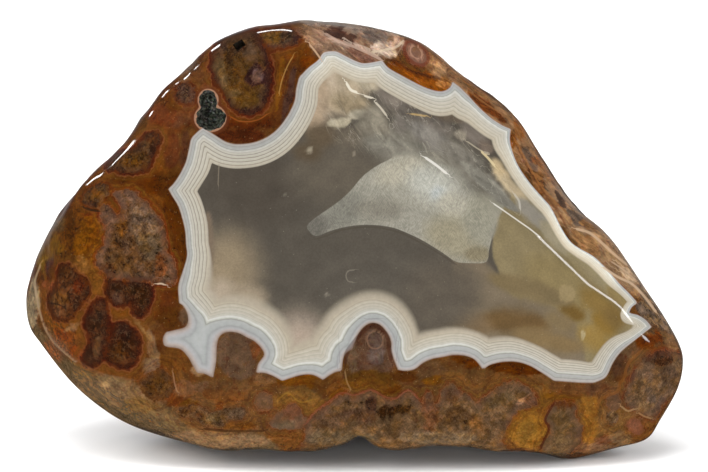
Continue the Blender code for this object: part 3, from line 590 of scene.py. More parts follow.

# A pale patch of fibrous stone below the ridge. Its paleness is painted light that lights the stone from
# within, with a painted highlight near its upper right. Its outline (x, y), patches where its edge fades over
# more pixels, as the last number says, and looks of its parts
LIT_FIBRES_OUTLINE = (
    (309, 223), (310, 232), (317, 236), (330, 231), (345, 227), (360, 225), (375, 225), (390, 227),
    (400, 230), (420, 239), (440, 251), (450, 258), (457, 262), (468, 263), (486, 262), (489, 250),
    (492, 238), (496, 226), (494, 212), (484, 200), (470, 186), (456, 171), (440, 163), (426, 158),
    (412, 155), (400, 155), (388, 160), (375, 167), (362, 177), (352, 189), (338, 202),
)
LIT_FIBRES_FADES = (
    (478, 190, 30, 36, -42, 20, 16.0), (414, 154, 34, 8, 12, 10, 9.0), (494, 226, 8, 12, 0, 8, 6.0),
)
LIT_FIBRES_BASE = (160, 156, 142)
LIT_FIBRES_PATCHES = {
    "tints": (
        (318, 226, 16, 12, -30, 16, 112, 108, 99), (346, 212, 22, 16, -36, 20, 130, 127, 116),
        # The two palest, at (432, 184) and (438, 194), are a painted highlight
        (400, 170, 26, 14, -20, 18, 176, 170, 152), (432, 184, 24, 16, 20, 24, 189, 188, 176),
        (438, 194, 7, 7, 20, 9, 186, 190, 186), (454, 207, 18, 12, 30, 14, 180, 175, 158),
        (455, 238, 30, 20, 20, 22, 155, 147, 124), (480, 218, 16, 26, 0, 20, 152, 148, 131),
        (380, 210, 24, 12, 0, 18, 138, 133, 120), (478, 254, 12, 8, 0, 8, 138, 128, 104)),
}

# Thin lines, and glints that are painted highlights: (half width, cover, look), then their course
STROKES = {
    # Painted highlight: the first part of the bright line along the ridge, short of where the ridge softbox
    # shows in the polish
    "painted_ridge_highlight": (0.7, 0.7, (236, 232, 220), (
        (494, 204), (500, 208), (510, 215), (520, 222), (530, 229), (540, 237))),
    # Painted highlight on the ridge at the top of the pale patch
    "lit_fibres_glint": (1.2, 0.9, (228, 224, 214), ((426, 158), (436, 165), (446, 173))),
    # Painted highlights along the ridge near the top of the heart
    "glint_top_1": (1.3, 0.9, (232, 224, 204), ((347, 84), (351, 90), (356, 92))),
    "glint_top_2": (1.0, 0.8, (225, 215, 195), ((365, 96), (372, 98))),
    "glint_top_3": (1.0, 0.7, (215, 205, 185), ((376, 103), (380, 107), (386, 115))),
    "gold_line": (0.9, 0.7, (200, 168, 110), ((412, 114), (419, 115), (425, 116))),
    "golden_glint": (1.2, 0.8, (225, 205, 160), ((482, 152), (488, 158), (494, 165))),
    "thin_line": (0.7, 0.6, (190, 178, 155), ((468, 142), (480, 150), (488, 153))),
    "white_arc": (1.0, 0.6, (200, 194, 180), ((515, 195), (519, 201), (520, 208))),
    "left_line": (0.6, 0.5, (140, 128, 110), ((219, 165), (218.5, 175), (218, 185))),
    "shell_arc": (0.7, 0.6, (128, 120, 108), ((354, 270), (348, 271), (346, 276), (348, 281), (352, 282))),
    "under_lit_fibres": (0.8, 0.6, (78, 72, 62), (
        (316, 239), (326, 236), (342, 230), (370, 227), (398, 232), (419, 242), (440, 254), (455, 264))),
    "top_lobe_line": (0.6, 0.6, (176, 132, 70), ((293, 56), (287, 67), (282, 80), (279, 93))),
    "under_top_lobe": (0.6, 0.5, (160, 84, 36), (
        (231, 117), (239, 121), (250, 121.5), (260, 119), (267, 114))),
    "facet_cream": (0.9, 0.7, (214, 176, 140), ((310, 45), (315, 51), (320, 58))),
    "facet_white": (1.3, 0.55, (212, 182, 162), ((326, 34), (338, 41), (352, 46), (368, 53), (380, 59))),
    "facet_thread": (0.7, 0.5, (220, 196, 176), ((344, 38), (352, 43), (362, 46), (372, 50))),
    "facet_pale": (1.2, 0.6, (226, 206, 176), ((372, 52), (384, 50), (396, 47), (402, 42))),
    "eye_ring": (1.6, 0.65, (112, 50, 30), (
        (404, 49), (406, 43), (413, 41), (421, 46), (427, 53), (428, 61), (422, 65), (414, 63), (407, 57),
        (404, 49))),
    "eye_ring_inside": (0.8, 0.6, (196, 150, 124), (
        (410, 50), (412, 46), (418, 47), (422, 53), (421, 58), (415, 58), (411, 54), (410, 50))),
    "facet_dark": (1.3, 0.6, (70, 34, 12), (
        (388, 60), (398, 62), (408, 70), (420, 74), (434, 77), (446, 81))),
    "strip_light_1": (1.3, 0.75, (214, 182, 148), (
        (577, 229), (590, 233), (602, 243), (614, 254), (626, 264))),
    "strip_light_2": (1.2, 0.75, (214, 184, 152), (
        (604, 268), (618, 277), (632, 284), (644, 296), (656, 312))),
    "strip_light_3": (0.8, 0.6, (206, 176, 146), ((612, 262), (624, 270), (636, 280))),
    "strip_ring_1": (0.9, 0.5, (168, 108, 52), (
        (514, 138), (526, 160), (538, 182), (552, 198), (566, 212))),
    "strip_ring_2": (0.9, 0.5, (92, 44, 18), ((517, 146), (529, 170), (545, 194), (558, 212), (566, 226))),
    "strip_ring_3": (0.8, 0.5, (156, 108, 62), ((470, 92), (486, 104), (502, 114), (514, 124), (520, 136))),
    "pillar_ring": (0.8, 0.4, (148, 112, 84), (
        (367, 341), (368, 335), (373, 331.5), (379, 332.5), (383, 338), (382, 345), (377, 348.5),
        (370, 347), (367, 341))),
    "pillar_dark": (2.2, 0.5, (58, 26, 18), (
        (345, 362), (347, 352), (354, 342), (361, 334), (367, 328), (374, 325), (381, 329), (387, 336),
        (389, 346), (391, 358))),
    "left_edge_line": (1.0, 0.5, (182, 158, 128), (
        (40, 266), (35, 282), (38, 304), (45, 328), (56, 345), (75, 361))),
    "right_contour": (1.5, 0.3, (150, 92, 40), (
        (640, 352), (628, 364), (624, 378), (619, 384), (619, 390), (610, 395), (600, 400), (597, 410))),
    "squiggle_1": (0.9, 0.4, (196, 160, 112), ((622, 407), (628, 411), (634, 409))),
    "squiggle_2": (0.9, 0.4, (190, 150, 100), ((640, 414), (646, 417), (650, 418))),
    "cream_upright": (0.7, 0.3, (190, 150, 112), ((173, 373), (175, 385), (177, 391))),
    "pillar_cream": (0.8, 0.3, (186, 148, 96), ((345, 372), (347, 382), (351, 390))),
    "yellow_line": (0.8, 0.35, (160, 118, 40), ((280, 398), (288, 393), (300, 402), (312, 400))),
    "pink_contour": (0.9, 0.3, (150, 80, 60), (
        (306, 424), (316, 411), (330, 401), (341, 393), (355, 395), (371, 390), (385, 397), (397, 398),
        (408, 390), (418, 398))),
    "red_left_of_white": (0.8, 0.25, (140, 55, 25), ((150, 200), (163, 215), (169, 240), (172, 255))),
    "maroon_outline": (1.2, 0.7, (70, 26, 14), ((553, 404), (545, 420), (549, 428), (541, 447))),
    "dark_line_left": (1.2, 0.8, (46, 30, 14), ((85, 208), (91, 210), (98, 211))),
    "bottom_dark_line": (1.2, 0.6, (52, 30, 18), ((205, 429), (230, 431), (262, 431))),
    "left_crack": (0.8, 0.8, (36, 20, 12), ((51, 303), (56, 304), (60, 305))),
    "chip": (0.8, 0.8, (214, 186, 156), ((158, 284), (161, 283.5), (164, 284.5))),
    "tan_bevel": (1.2, 0.15, (150, 108, 78), ((43, 322), (56, 338), (75, 358), (102, 374), (133, 380))),
}
STROKE_REACH = 7.0

# Broad looks of the rind, painted first
RIND_BASE = (96, 62, 30)
RIND_AREAS = {
    # The last three, on the facets, are paler: the rind's tint with a painted haze of reflected light
    "broad": (
        (110, 240, 90, 110, 0, 24, 95, 55, 18), (240, 80, 90, 55, 0, 20, 92, 52, 22),
        (140, 350, 70, 50, 0, 20, 92, 54, 24), (230, 410, 70, 30, 0, 16, 98, 68, 40),
        (400, 410, 120, 40, 0, 20, 88, 62, 36), (560, 410, 80, 40, 0, 20, 100, 72, 40),
        (650, 370, 40, 50, 0, 16, 92, 68, 44), (500, 110, 120, 24, 42, 14, 150, 112, 78),
        (600, 240, 80, 20, 48, 10, 158, 124, 92), (350, 40, 60, 20, 5, 10, 140, 110, 88)),
}
# The lower left bevel: the rind's tint with a painted sheen of the floor's reflection
RIND_BEVEL_SHEEN = {
    "bevel": {"look": (98, 78, 52), "softness": 3.0, "outline": (
        (20, 330), (44, 334), (54, 347), (85, 367), (133, 381), (160, 398), (175, 411), (198, 431),
        (262, 434), (262, 470), (20, 470))},
}

# The look between the lobes of moss
MOSS_BASE = (88, 62, 38)

# Rings around the moss, fine ones and the wide maroon ones of some lobes: (distance, look, cover)
MOSS_RINGS = (
    (-1.40, (112, 84, 68), 0.00), (-0.95, (114, 86, 72), 0.26), (-0.30, (108, 68, 50), 0.50),
    (-0.12, (92, 42, 24), 0.75), (0.00, (150, 98, 62), 0.65), (0.10, (122, 50, 20), 0.75),
    (0.22, (80, 34, 12), 0.65), (0.34, (136, 66, 26), 0.60), (0.46, (80, 38, 10), 0.60),
    (0.60, (120, 80, 28), 0.55), (0.82, (112, 76, 24), 0.45), (0.95, (80, 40, 12), 0.50),
    (1.08, (124, 74, 28), 0.40), (1.20, (80, 42, 12), 0.35), (1.70, (90, 48, 16), 0.0),
)
MAROON_RINGS = (
    (-1.40, (60, 36, 24), 0.00), (-0.50, (56, 26, 14), 0.60), (-0.05, (58, 20, 9), 0.85),
    (0.28, (72, 24, 10), 0.85), (0.42, (92, 34, 14), 0.85), (0.54, (150, 92, 56), 0.65),
    (0.66, (120, 70, 22), 0.60), (0.80, (84, 40, 12), 0.55), (1.00, (128, 84, 30), 0.55),
    (1.25, (108, 66, 16), 0.40), (1.70, (90, 48, 16), 0.0),
)
RING_SPAN = (-1.4, 1.7)

# How maroon the rings of some lobes are; the others have fine ones
MAROON_RINGED = {
    "top_left_lobe": 0.8, "top_lobe": 0.6, "upper_left_lobe": 0.8, "dark_patch_by_the_vug": 0.6,
    "left_rim_moss": 0.5, "maroon_lobe": 1.0, "great_foot": 1.0, "tall_dark_lobe": 1.0, "ringed_lobe": 1.0,
    "right_lobe": 0.3,
}

# How grainy some lobes are; the others are fully so
MOSS_GRAINS = {
    "bottom_lobe": 0.75, "standing_moss": 0.6, "red_peak": 0.5, "swirl": 0.5, "ringed_spot": 0.6,
    "red_spot": 0.5, "right_lobe": 0.8, "top_left_lobe": 0.75, "eye_on_the_facet": 0.4,
    "lower_left_moss": 0.8,
}

# The natural back and sides: random moss lobes and a brown rind
BACK_SEED = 11
BACK_LOBES = 90
BACK_LOBE_SIZES = (1.5, 5.0)
BACK_LOOKS = ((118, 84, 50), (96, 62, 32), (132, 98, 62), (84, 54, 34), (122, 74, 38), (108, 88, 64))
BACK_MOSS_LOOKS = ((84, 62, 40), (98, 80, 58), (70, 44, 30), (104, 76, 36))

# The room: how bright its light is, how bright it is in the polish behind the camera and elsewhere, as the
# backdrop, and between which angles from the camera axis the polish changes
ROOM_BRIGHT = 0.4
ROOM_DARK = 0.04
ROOM_IN_POLISH = 0.06
ROOM_SEEN = 1.05
DARK_COSINE = (math.cos(math.radians(46.0)), math.cos(math.radians(54.0)))

# Between which heights of a mirrored direction the polish goes over from the floor to the room
FLOOR_RISE = (-0.2, 0.05)

# How bright the white backdrop is in the polish at the stone's very edge, between which angles from the
# camera axis it starts, and between which heights
BACKDROP_GLOW = 0.22
BACKDROP_COSINE = (-0.97, -0.76)
BACKDROP_RISE = (-0.3, -0.16)

# How much of the polish's own light is taken off the painted looks, and the least share that stays
GLOSS_SHARE = 0.7
GLOSS_KEEP = 0.35

# Softboxes: turn seen in the photograph, angle away from the camera axis, distance, width across that
# direction, height along it, radiance and whether the polish shows it
SOFTBOXES = {
    "overhead": (97.0, 68.0, 1.1, 0.8, 0.5, 6.6, False),
    "front": (140.0, 48.0, 1.1, 0.9, 0.9, 2.2, False),
    "low_front": (270.0, 4.0, 1.1, 1.2, 0.25, 4.0, False),
    "ridge": (24.5, 66.0, 0.9, 0.44, 0.22, 10.0, True),
    "left_fill": (150.0, 100.0, 1.1, 0.7, 0.5, 4.5, False),
    "right_fill": (30.0, 100.0, 1.1, 0.5, 0.4, 3.0, False),
    "rim_left": (139.0, 120.0, 0.9, 0.11, 0.12, 13.0, True),
    "rim_shoulder": (126.0, 118.0, 0.9, 0.1, 0.12, 14.0, True),
    "rim_top": (96.0, 116.0, 0.9, 0.2, 0.1, 12.0, True),
}
FLOOR_HALF = 4.0

# The palest paint, the least lengths that are divided by, how many places are measured at once, and steps
# between the points of outlines and strokes
MOST_PAINT = 0.96
TINY = 1e-9
LEAST_SIZE = 1e-3
CHUNK = 2048
LOBE_STEPS = 6
AREA_STEPS = 4
STROKE_STEPS = 5

# Numbers that scramble the corners of a lattice into random values
CELL_KEYS = (73856093, 19349663, 83492791)
SEED_KEY = 2654435
MIX_KEY = 1274126177

# Distances that stand for nowhere near: in millimetres or half widths, from the heart in millimetres, and
# from moss in pixels; then how near a lobe of moss counts, and the rings where there is none
OUT_OF_REACH = 9.0
NO_HEART = 12.0
NO_MOSS = 60.0
MOSS_REACH = 40.0
MOSS_BASE_HALO = 0.3

# Wobble of the edges of patches, in pixels: (size in millimetres, height, seed)
FINE_WOBBLE = ((0.9, 1.4, 1), (0.4, 0.8, 2))
RAGGED_WOBBLE = ((2.4, 4.0, 3), (1.0, 2.4, 4))
BACK_LOBE_WOBBLE = ((1.8, 0.8, 5),)
BACK_RIND_DRIFT = ((8.0, 0.55, 6), (2.6, 0.25, 7))
BACK_LOBE_SHAPE = (1.0, 1.0, 0.8)

# How strongly rings show on the back, how maroon they are and how grainy its moss is
BACK_HALO = 0.5
BACK_MAROON = 0.3
BACK_GRAINS = 0.7

# Levels above the waist: where the front's markings and the polish set in, and where the back's moss ends
FRONT_STARTS = (-5.0, -2.0)
POLISH_STARTS = (-4.0, -1.0)
BACK_MOSS_LEVEL = -1.0

# How far from the heart the mottles set in, how a facet turns to count as one on the right, how many pixels
# the lit patch of fibres fades over at least, how far the band glows inward at least, and the range kept of
# that share
MOTTLE_STARTS = (6.0, 12.0)
FACET_COSINES = (0.35, 0.6)
LIT_FIBRES_FADE = 0.8
LEAST_GLOW = 0.8
HEART_RANGE = (-3.0, 4.0)

# Noises: cells to the millimetre, detail, roughness, how far aside each is taken and distortion
NOISES = {
    "rind_cloud": (0.55, 4.0, 0.6, 0.0, 0.0),
    "rind_grain": (3.4, 3.0, 0.6, 0.0, 0.0),
    "rind_mottle": (1.3, 5.0, 0.7, 83.0, 0.8),
    "rings_by_heart": (3.0, 2.0, 0.6, 0.0, 0.0),
    "rings_by_moss": (2.6, 2.0, 0.6, 0.0, 0.0),
    "ruddy": (1.3, 3.0, 0.6, 11.0, 0.0),
    "ochre": (1.6, 3.0, 0.6, 23.0, 0.0),
    "maroon": (0.9, 4.0, 0.6, 97.0, 0.6),
    "facet_streaks": (1.0, 5.0, 0.7, 0.0, 1.0),
    "needles": (1.0, 2.0, 0.5, 0.0, 0.0),
    "needle_ribs": (0.55, 2.0, 0.5, 0.0, 0.0),
    "warm_moss": (0.7, 4.0, 0.6, 37.0, 0.0),
    "moss_coarse": (0.9, 4.0, 0.6, 0.0, 0.0),
    "moss_blotches": (0.34, 5.0, 0.6, 67.0, 1.0),
    "moss_fine": (3.2, 3.0, 0.6, 5.0, 0.0),
    "contours": (0.42, 3.0, 0.5, 61.0, 0.6),
    "threads": (1.1, 4.0, 0.65, 17.0, 1.0),
    "crystals": (1.5, 5.0, 0.7, 29.0, 1.2),
    "ring_breaks": (0.8, 4.0, 0.65, 53.0, 0.0),
    "heart_arcs": (0.45, 0.0, 0.5, 0.0, 0.0),
    "heart_cloud": (0.35, 4.0, 0.55, 0.0, 0.0),
    "heart_dust": (3.4, 3.0, 0.6, 0.0, 0.0),
    "wisps": (0.55, 5.0, 0.62, 0.0, 0.8),
    "heart_threads": (0.5, 3.0, 0.6, 0.0, 0.6),
    "lit_fibres_sparkle": (2.6, 4.0, 0.65, 71.0, 1.0),
    "lit_fibres_cloud": (0.5, 3.0, 0.5, 0.0, 0.0),
    "band_drift": (1.2, 2.0, 0.5, 0.0, 0.0),
    "band_cloud": (1.6, 3.0, 0.5, 0.0, 0.0),
    "moss_warp": (0.9, 5.0, 0.65, 0.0, 0.0),
    "surface_grain": (1.3, 5.0, 0.65, 0.0, 0.0),
    "crystal_grain": (2.2, 4.0, 0.7, 0.0, 0.0),
}
SHIFT = (1.0, 0.7, 1.3)

# Eases of a noise, a distance or a share into a brightness, a cover or a strength: from, to, and the value at
# both ends
EASES = {
    "rind_cloud": (0.3, 0.7, 0.66, 1.18),
    "rind_grain": (0.3, 0.7, 0.84, 1.16),
    "rind_mottle": (0.3, 0.7, 0.5, 1.5),
    "rings_by_heart": (0.35, 0.65, 0.84, 1.14),
    "reach_from_heart": (3.5, 0.6, 0.0, 1.0),
    "reach_from_moss": (3.2, 0.8, 0.0, 1.0),
    "dark_rings": (0.52, 0.36, 0.0, 1.0),
    "light_rings": (0.5, 0.66, 0.0, 1.0),
    "ruddy": (0.52, 0.66, 0.0, 0.4),
    "ochre": (0.54, 0.66, 0.0, 0.5),
    "maroon": (0.52, 0.64, 0.0, 0.55),
    "facet_streaks": (0.3, 0.7, 0.62, 1.48),
    "pale_streaks": (0.6, 0.7, 0.0, 0.3),
    "rind_specks": (0.12, 0.05, 0.0, 0.35),
    "needle_ribs": (0.46, 0.54, 0.0, 1.0),
    "warm_moss": (0.42, 0.62, 0.0, 0.75),
    "moss_coarse": (0.3, 0.7, 0.44, 1.62),
    "moss_blotches": (0.45, 0.55, 0.78, 1.24),
    "moss_fine": (0.3, 0.7, 0.8, 1.2),
    "moss_needles": (0.32, 0.68, 0.76, 1.26),
    "contours": (0.2, 0.06, 0.0, 0.42),
    "threads": (0.03, 0.008, 0.0, 0.5),
    "crystals": (0.022, 0.004, 0.0, 0.3),
    "ring_breaks": (0.36, 0.6, 0.25, 1.0),
    "heart_arcs": (0.3, 0.7, 0.96, 1.04),
    "heart_cloud": (0.3, 0.7, 0.94, 1.07),
    "heart_dust": (0.3, 0.7, 0.92, 1.08),
    "heart_specks": (0.09, 0.03, 0.0, 0.3),
    "wisps": (0.3, 0.7, -0.3, 0.3),
    "heart_threads": (0.012, 0.002, 0.0, 0.3),
    "quartz_needles": (0.36, 0.64, 0.82, 1.08),
    "lit_fibres_sparkle": (0.3, 0.7, 0.88, 1.12),
    "lit_fibres_cloud": (0.3, 0.7, 0.94, 1.06),
    "quartz_edge": (0.6, -0.6, 0.0, 1.0),
    "band_cloud": (0.3, 0.7, 0.95, 1.04),
    "moss_edge": (0.05, -0.12, 0.0, 1.0),
    "vug_stain": (1.0, 0.45, 0.0, 0.7),
    "vug_lip": (0.32, 0.2, 0.0, 0.75),
    "heart_start": (0.0, 1.0, 0.0, 1.0),
    "heart_edge": (0.08, -0.08, 0.0, 1.0),
    "stroke_edge": (1.3, 0.7, 0.0, 1.0),
    "rough_back": (0.3, 0.7, 0.36, 0.56),
    "rough_polish": (0.3, 0.7, 0.05, 0.09),
    "grain_strength": (1.0, 0.0, 0.02, 0.7),
    "crystal_grain": (0.45, 0.62, 0.0, 1.0),
    "crystal_roughness": (0.1, 0.5, 0.25, 0.6),
}

# Hues that turn a colour by factors, and looks of details laid over it
HUES = {
    "dark_rings": (0.86, 0.62, 0.5), "light_rings": (1.5, 1.36, 1.0), "ruddy": (1.2, 0.8, 0.6),
    "ochre": (1.14, 1.18, 0.8), "maroon": (0.7, 0.46, 0.46), "cool_moss": (0.98, 1.0, 1.1),
    "warm_moss": (1.12, 0.9, 0.45), "contours": (0.7, 0.46, 0.4),
}
DETAILS = {
    "pale_streaks": (214, 176, 150), "rind_specks": (206, 170, 120), "threads": (34, 20, 11),
    "crystals": (168, 134, 100), "heart_specks": (176, 168, 150), "heart_threads": (196, 188, 170),
    "vug_stain": (92, 46, 26), "vug_lip": (176, 134, 106),
}

# Specks: cells to the millimetre, and how far aside they are taken
SPECKS = {"rind_specks": (1.5, 3.0), "heart_specks": (0.8, 41.0)}

# Levels at which thin lines cross a noise, and how many contours the moss's noise has
LINE_LEVELS = {"contours": 0.5, "threads": 0.5, "crystals": 0.58, "heart_threads": 0.55}
CONTOURS = 11.0

# Needles: the two ways they lie, in degrees, their width and their length; their depth; and other streaks
# with the way they lie, their width and their length
NEEDLES = {"moss": (40.0, -35.0, 0.16, 1.1), "lit_fibres": (28.0, -36.0, 0.12, 0.8)}
NEEDLE_DEPTH = 3.0
FACET_LEAN = (-54.0, 0.9, 3.4)
WISP_LEAN = (-38.0, 1.0, 2.2)
THREAD_LEAN = (-34.0, 0.9, 4.0)

# Rings and bands: how far clouds bend them, where their noises are taken, how unbroken maroon rings are, and
# how far the bands and the edge of the moss stray
RING_BEND = 0.9
MOSS_RINGS_ASIDE = 7.0
HEART_ARCS_ASIDE = 3.0
MAROON_UNBROKEN = 0.75
BAND_DRIFT = 0.03
MOSS_WARP = 1.9

# Surfaces: how strongly the polish bends light and mirrors it straight on, the height of its grain, the
# crystals of the vug and the pit, and the floor
AGATE_IOR = 1.54
STRAIGHT_MIRROR = 0.045
GRAIN_HEIGHT = 0.25
CRYSTAL_CELLS = 3.0
CRYSTAL_TONES = 0.35
CRYSTAL_STRENGTH = 0.6
CRYSTAL_HEIGHT = 0.2
FLOOR_WHITE = 0.97
FLOOR_ROUGHNESS = 0.9


def eased(share):
    """An even ease from 0 to 1."""
    return share * share * (3.0 - 2.0 * share)


def smooth_step(low, high, values):
    """0 below low, 1 above high and an even ease between them; low may be the larger."""
    return eased(np.clip((values - low) / (high - low), 0.0, 1.0))


def linear(looks):
    """Linear light of looks given as 0 to 255 on a screen, by the screen's own curve."""
    shares = np.asarray(looks, dtype=float) / 255.0
    return np.where(shares <= 0.04045, shares / 12.92, ((shares + 0.055) / 1.055) ** 2.4)


def paint(look):
    """The base colour that comes out as this look in the scene's light."""
    red, green, blue = np.minimum(linear(look) / LIGHT_LEVEL, MOST_PAINT)
    return (red, green, blue, 1.0)


def lattice_noise(points, seed):
    """Smooth random values from -1 to 1 that change over about one unit."""
    cells = np.floor(points).astype(np.int64)
    ease = eased(points - cells)
    total = np.zeros(len(points))
    for corner in itertools.product((0, 1), repeat=3):
        keys = (cells + np.array(corner)) * CELL_KEYS
        mixed = keys[:, 0] ^ keys[:, 1] ^ keys[:, 2] ^ seed * SEED_KEY
        mixed = (mixed ^ (mixed >> 13)) * MIX_KEY
        mixed = mixed ^ (mixed >> 16)
        values = (mixed & 0xFFFF) / 32767.5 - 1.0
        total += values * np.where(np.array(corner) == 1, ease, 1.0 - ease).prod(axis=1)
    return total


def smooth_max(first, second, width):
    """The larger of two fields, with the crease between them rounded over the given width."""
    overlap = np.maximum(width - np.abs(first - second), 0.0)
    return np.maximum(first, second) + overlap * overlap / (4.0 * width)


def roughness(points, rows):
    """Noises of several sizes added up: (size, height, seed)."""
    return sum(height * lattice_noise(points / size, seed) for size, height, seed in rows)


def spline(before, start, end, beyond, steps):
    """Points from each start up to just before its end, on a smooth curve (Catmull-Rom)."""
    rows = []
    for t in np.arange(steps) / steps:
        rows.append(0.5 * (2.0 * start + (end - before) * t
                           + (2.0 * before - 5.0 * start + 4.0 * end - beyond) * t * t
                           + (3.0 * start - before - 3.0 * end + beyond) * t ** 3))
    return np.stack(rows, axis=1).reshape(-1, 2)


def closed_curve(points, steps):
    """A smooth closed curve through the points."""
    knots = np.array(points, dtype=float)
    before, after, beyond = (np.roll(knots, turn, axis=0) for turn in (1, -1, -2))
    return spline(before, knots, after, beyond, steps)


def open_curve(points, steps):
    """A smooth curve through the points, from the first one up to just before the last one."""
    knots = np.array(points, dtype=float)
    padded = np.vstack((2.0 * knots[0] - knots[1], knots, 2.0 * knots[-1] - knots[-2]))
    return spline(padded[:-3], padded[1:-2], padded[2:-1], padded[3:], steps)


def reach_tables():
    """Distance from the heart to the outline in even steps of angle, as it is and with ripples smoothed."""
    curve = closed_curve(OUTLINE, SPLINE_STEPS) - np.array(HEART[:2])
    angles = np.arctan2(curve[:, 1], curve[:, 0])
    radii = np.hypot(curve[:, 0], curve[:, 1])
    order = np.argsort(angles)
    steps = np.linspace(-math.pi, math.pi, ANGLE_STEPS, endpoint=False)
    rippled = np.interp(steps, angles[order], radii[order], period=FULL_TURN)
    kernel = np.exp(-0.5 * (steps / RIPPLE_SMOOTHING) ** 2)
    kernel = np.roll(kernel / kernel.sum(), ANGLE_STEPS // 2)
    smoothed = np.fft.irfft(np.fft.rfft(rippled) * np.fft.rfft(kernel), ANGLE_STEPS)
    return steps, rippled, smoothed


def above_waist(u, w):
    """How far a level w lies in front of the widest level of the rim."""
    return w - WAIST_LEVEL - WAIST_SLOPE * u


def outline_reach(u, v, w, tables):
    """Distance from the heart to the rim, in the direction of each (u, v) and at the level w."""
    steps, rippled, smoothed = tables
    wanted = np.arctan2(v - HEART[1], u - HEART[0])
    above = above_waist(u, w)
    span = np.where(above > 0.0, RIPPLE_FRONT_SPAN, RIPPLE_BACK_SPAN)
    share = eased(np.clip(1.0 - np.abs(above) / span, 0.0, 1.0))
    fine = np.interp(wanted, steps, rippled, period=FULL_TURN)
    plain = np.interp(wanted, steps, smoothed, period=FULL_TURN)
    return plain + (fine - plain) * share


def rim_field(u, v, w, tables):
    """Negative inside the rim, whose walls bulge at the waist and draw in to the front and back."""
    above = above_waist(u, w)
    taper = np.where(above > 0.0, FRONT_TAPER, BACK_TAPER)
    drawn_in = 1.0 - taper * (above / WAIST_SPAN) ** 2
    return np.hypot(u - HEART[0], v - HEART[1]) - outline_reach(u, v, w, tables) * drawn_in


def facet_field(facet, u, v, w, level):
    """Negative below a facet that falls away from the level surface past its edge."""
    turn = math.radians(facet["falls"])
    tilt = math.radians(facet["tilt"])
    du = u - facet["start"][0]
    dv = v - facet["start"][1]
    along = du * math.sin(turn) - dv * math.cos(turn)
    places, offsets = np.array(facet["edge"]).T
    beyond = du * math.cos(turn) + dv * math.sin(turn) - np.interp(along, places, offsets)
    return (w - level) * math.cos(tilt) + beyond * math.sin(tilt)


def front_field(u, v, w):
    """Negative behind the polished face and its facets."""
    face = FACE_HEIGHT - (u * u + v * v) / (2.0 * FACE_DOME_RADIUS)
    field = w - face
    for facet in FRONT_FACETS:
        field = smooth_max(field, facet_field(facet, u, v, w, face), facet["softness"])
    return field


def back_field(u, v, w):
    """Negative in front of the natural back."""
    depth = BACK_DEPTH - (u * u + v * v) / (2.0 * BACK_DOME_RADIUS)
    for lump_u, lump_v, height, spread in BACK_LUMPS:
        depth = depth + height * np.exp(-((u - lump_u) ** 2 + (v - lump_v) ** 2) / (2.0 * spread ** 2))
    return smooth_max(-w - depth, facet_field(BACK_SLOPE, u, v, -w, depth), BACK_SLOPE["softness"])


def stone_field(points, tables):
    """Negative inside the stone, before the flat and the hollows are cut."""
    u, v, w = points.T
    field = smooth_max(rim_field(u, v, w, tables), front_field(u, v, w), FRONT_RIM_ROUNDING)
    return smooth_max(field, back_field(u, v, w), BACK_RIM_ROUNDING)


def surface_points(directions, tables):
    """Where rays from the heart in the given directions leave the stone."""
    heart = np.array(HEART)
    inside = np.zeros(len(directions))
    outside = np.full(len(directions), FAR)
    for _ in range(BISECTIONS):
        middle = 0.5 * (inside + outside)
        within = stone_field(heart + directions * middle[:, None], tables) < 0.0
        inside = np.where(within, middle, inside)
        outside = np.where(within, outside, middle)
    return heart + directions * inside[:, None]


def fill_outline(points, tables):
    """Push the rim out to the outline where the rounding of the edges has drawn it in."""
    steps, rippled, _ = tables
    around = np.linspace(-math.pi, math.pi, RIM_CHECKS, endpoint=False)
    levels = np.linspace(-RIM_CHECK_LEVEL, RIM_CHECK_LEVEL, RIM_CHECK_LEVELS)
    angle, level = np.meshgrid(around, levels)
    directions = np.stack((np.cos(angle), np.sin(angle), np.tan(level)), axis=-1).reshape(-1, 3)
    directions /= np.linalg.norm(directions, axis=1)[:, None]
    checked = surface_points(directions, tables) - np.array(HEART)
    widest = np.hypot(checked[:, 0], checked[:, 1]).reshape(angle.shape).max(axis=0)
    growth = np.interp(around, steps, rippled, period=FULL_TURN) / widest
    offset = points - np.array(HEART)
    turned = np.arctan2(offset[:, 1], offset[:, 0])
    across = np.hypot(offset[:, 0], offset[:, 1]) / np.interp(turned, around, widest, period=FULL_TURN)
    factor = 1.0 + (np.interp(turned, around, growth, period=FULL_TURN) - 1.0) * across ** RIM_HOLD
    return points + offset * (factor - 1.0)[:, None] * np.array((1.0, 1.0, 0.0))


def face_level(u, v, tables):
    """Height of the front surface above a point (u, v) of the face frame."""
    inside = 0.0
    outside = FAR
    for _ in range(BISECTIONS):
        middle = 0.5 * (inside + outside)
        if stone_field(np.array([[u, v, middle]]), tables)[0] < 0.0:
            inside = middle
        else:
            outside = middle
    return inside


def face_to_world():
    """The matrix that leans the face frame back and stands it up, in millimetres."""
    sine = math.sin(FACE_LEAN)
    cosine = math.cos(FACE_LEAN)
    return Matrix(((1.0, 0.0, 0.0, 0.0),
                   (0.0, sine, -cosine, 0.0),
                   (0.0, cosine, sine, FLAT_BELOW_CENTRE),
                   (0.0, 0.0, 0.0, 1.0)))


def moved(matrix, points):
    """The points, moved by a matrix."""
    rows = np.array(matrix)
    return points @ rows[:3, :3].T + rows[:3, 3]


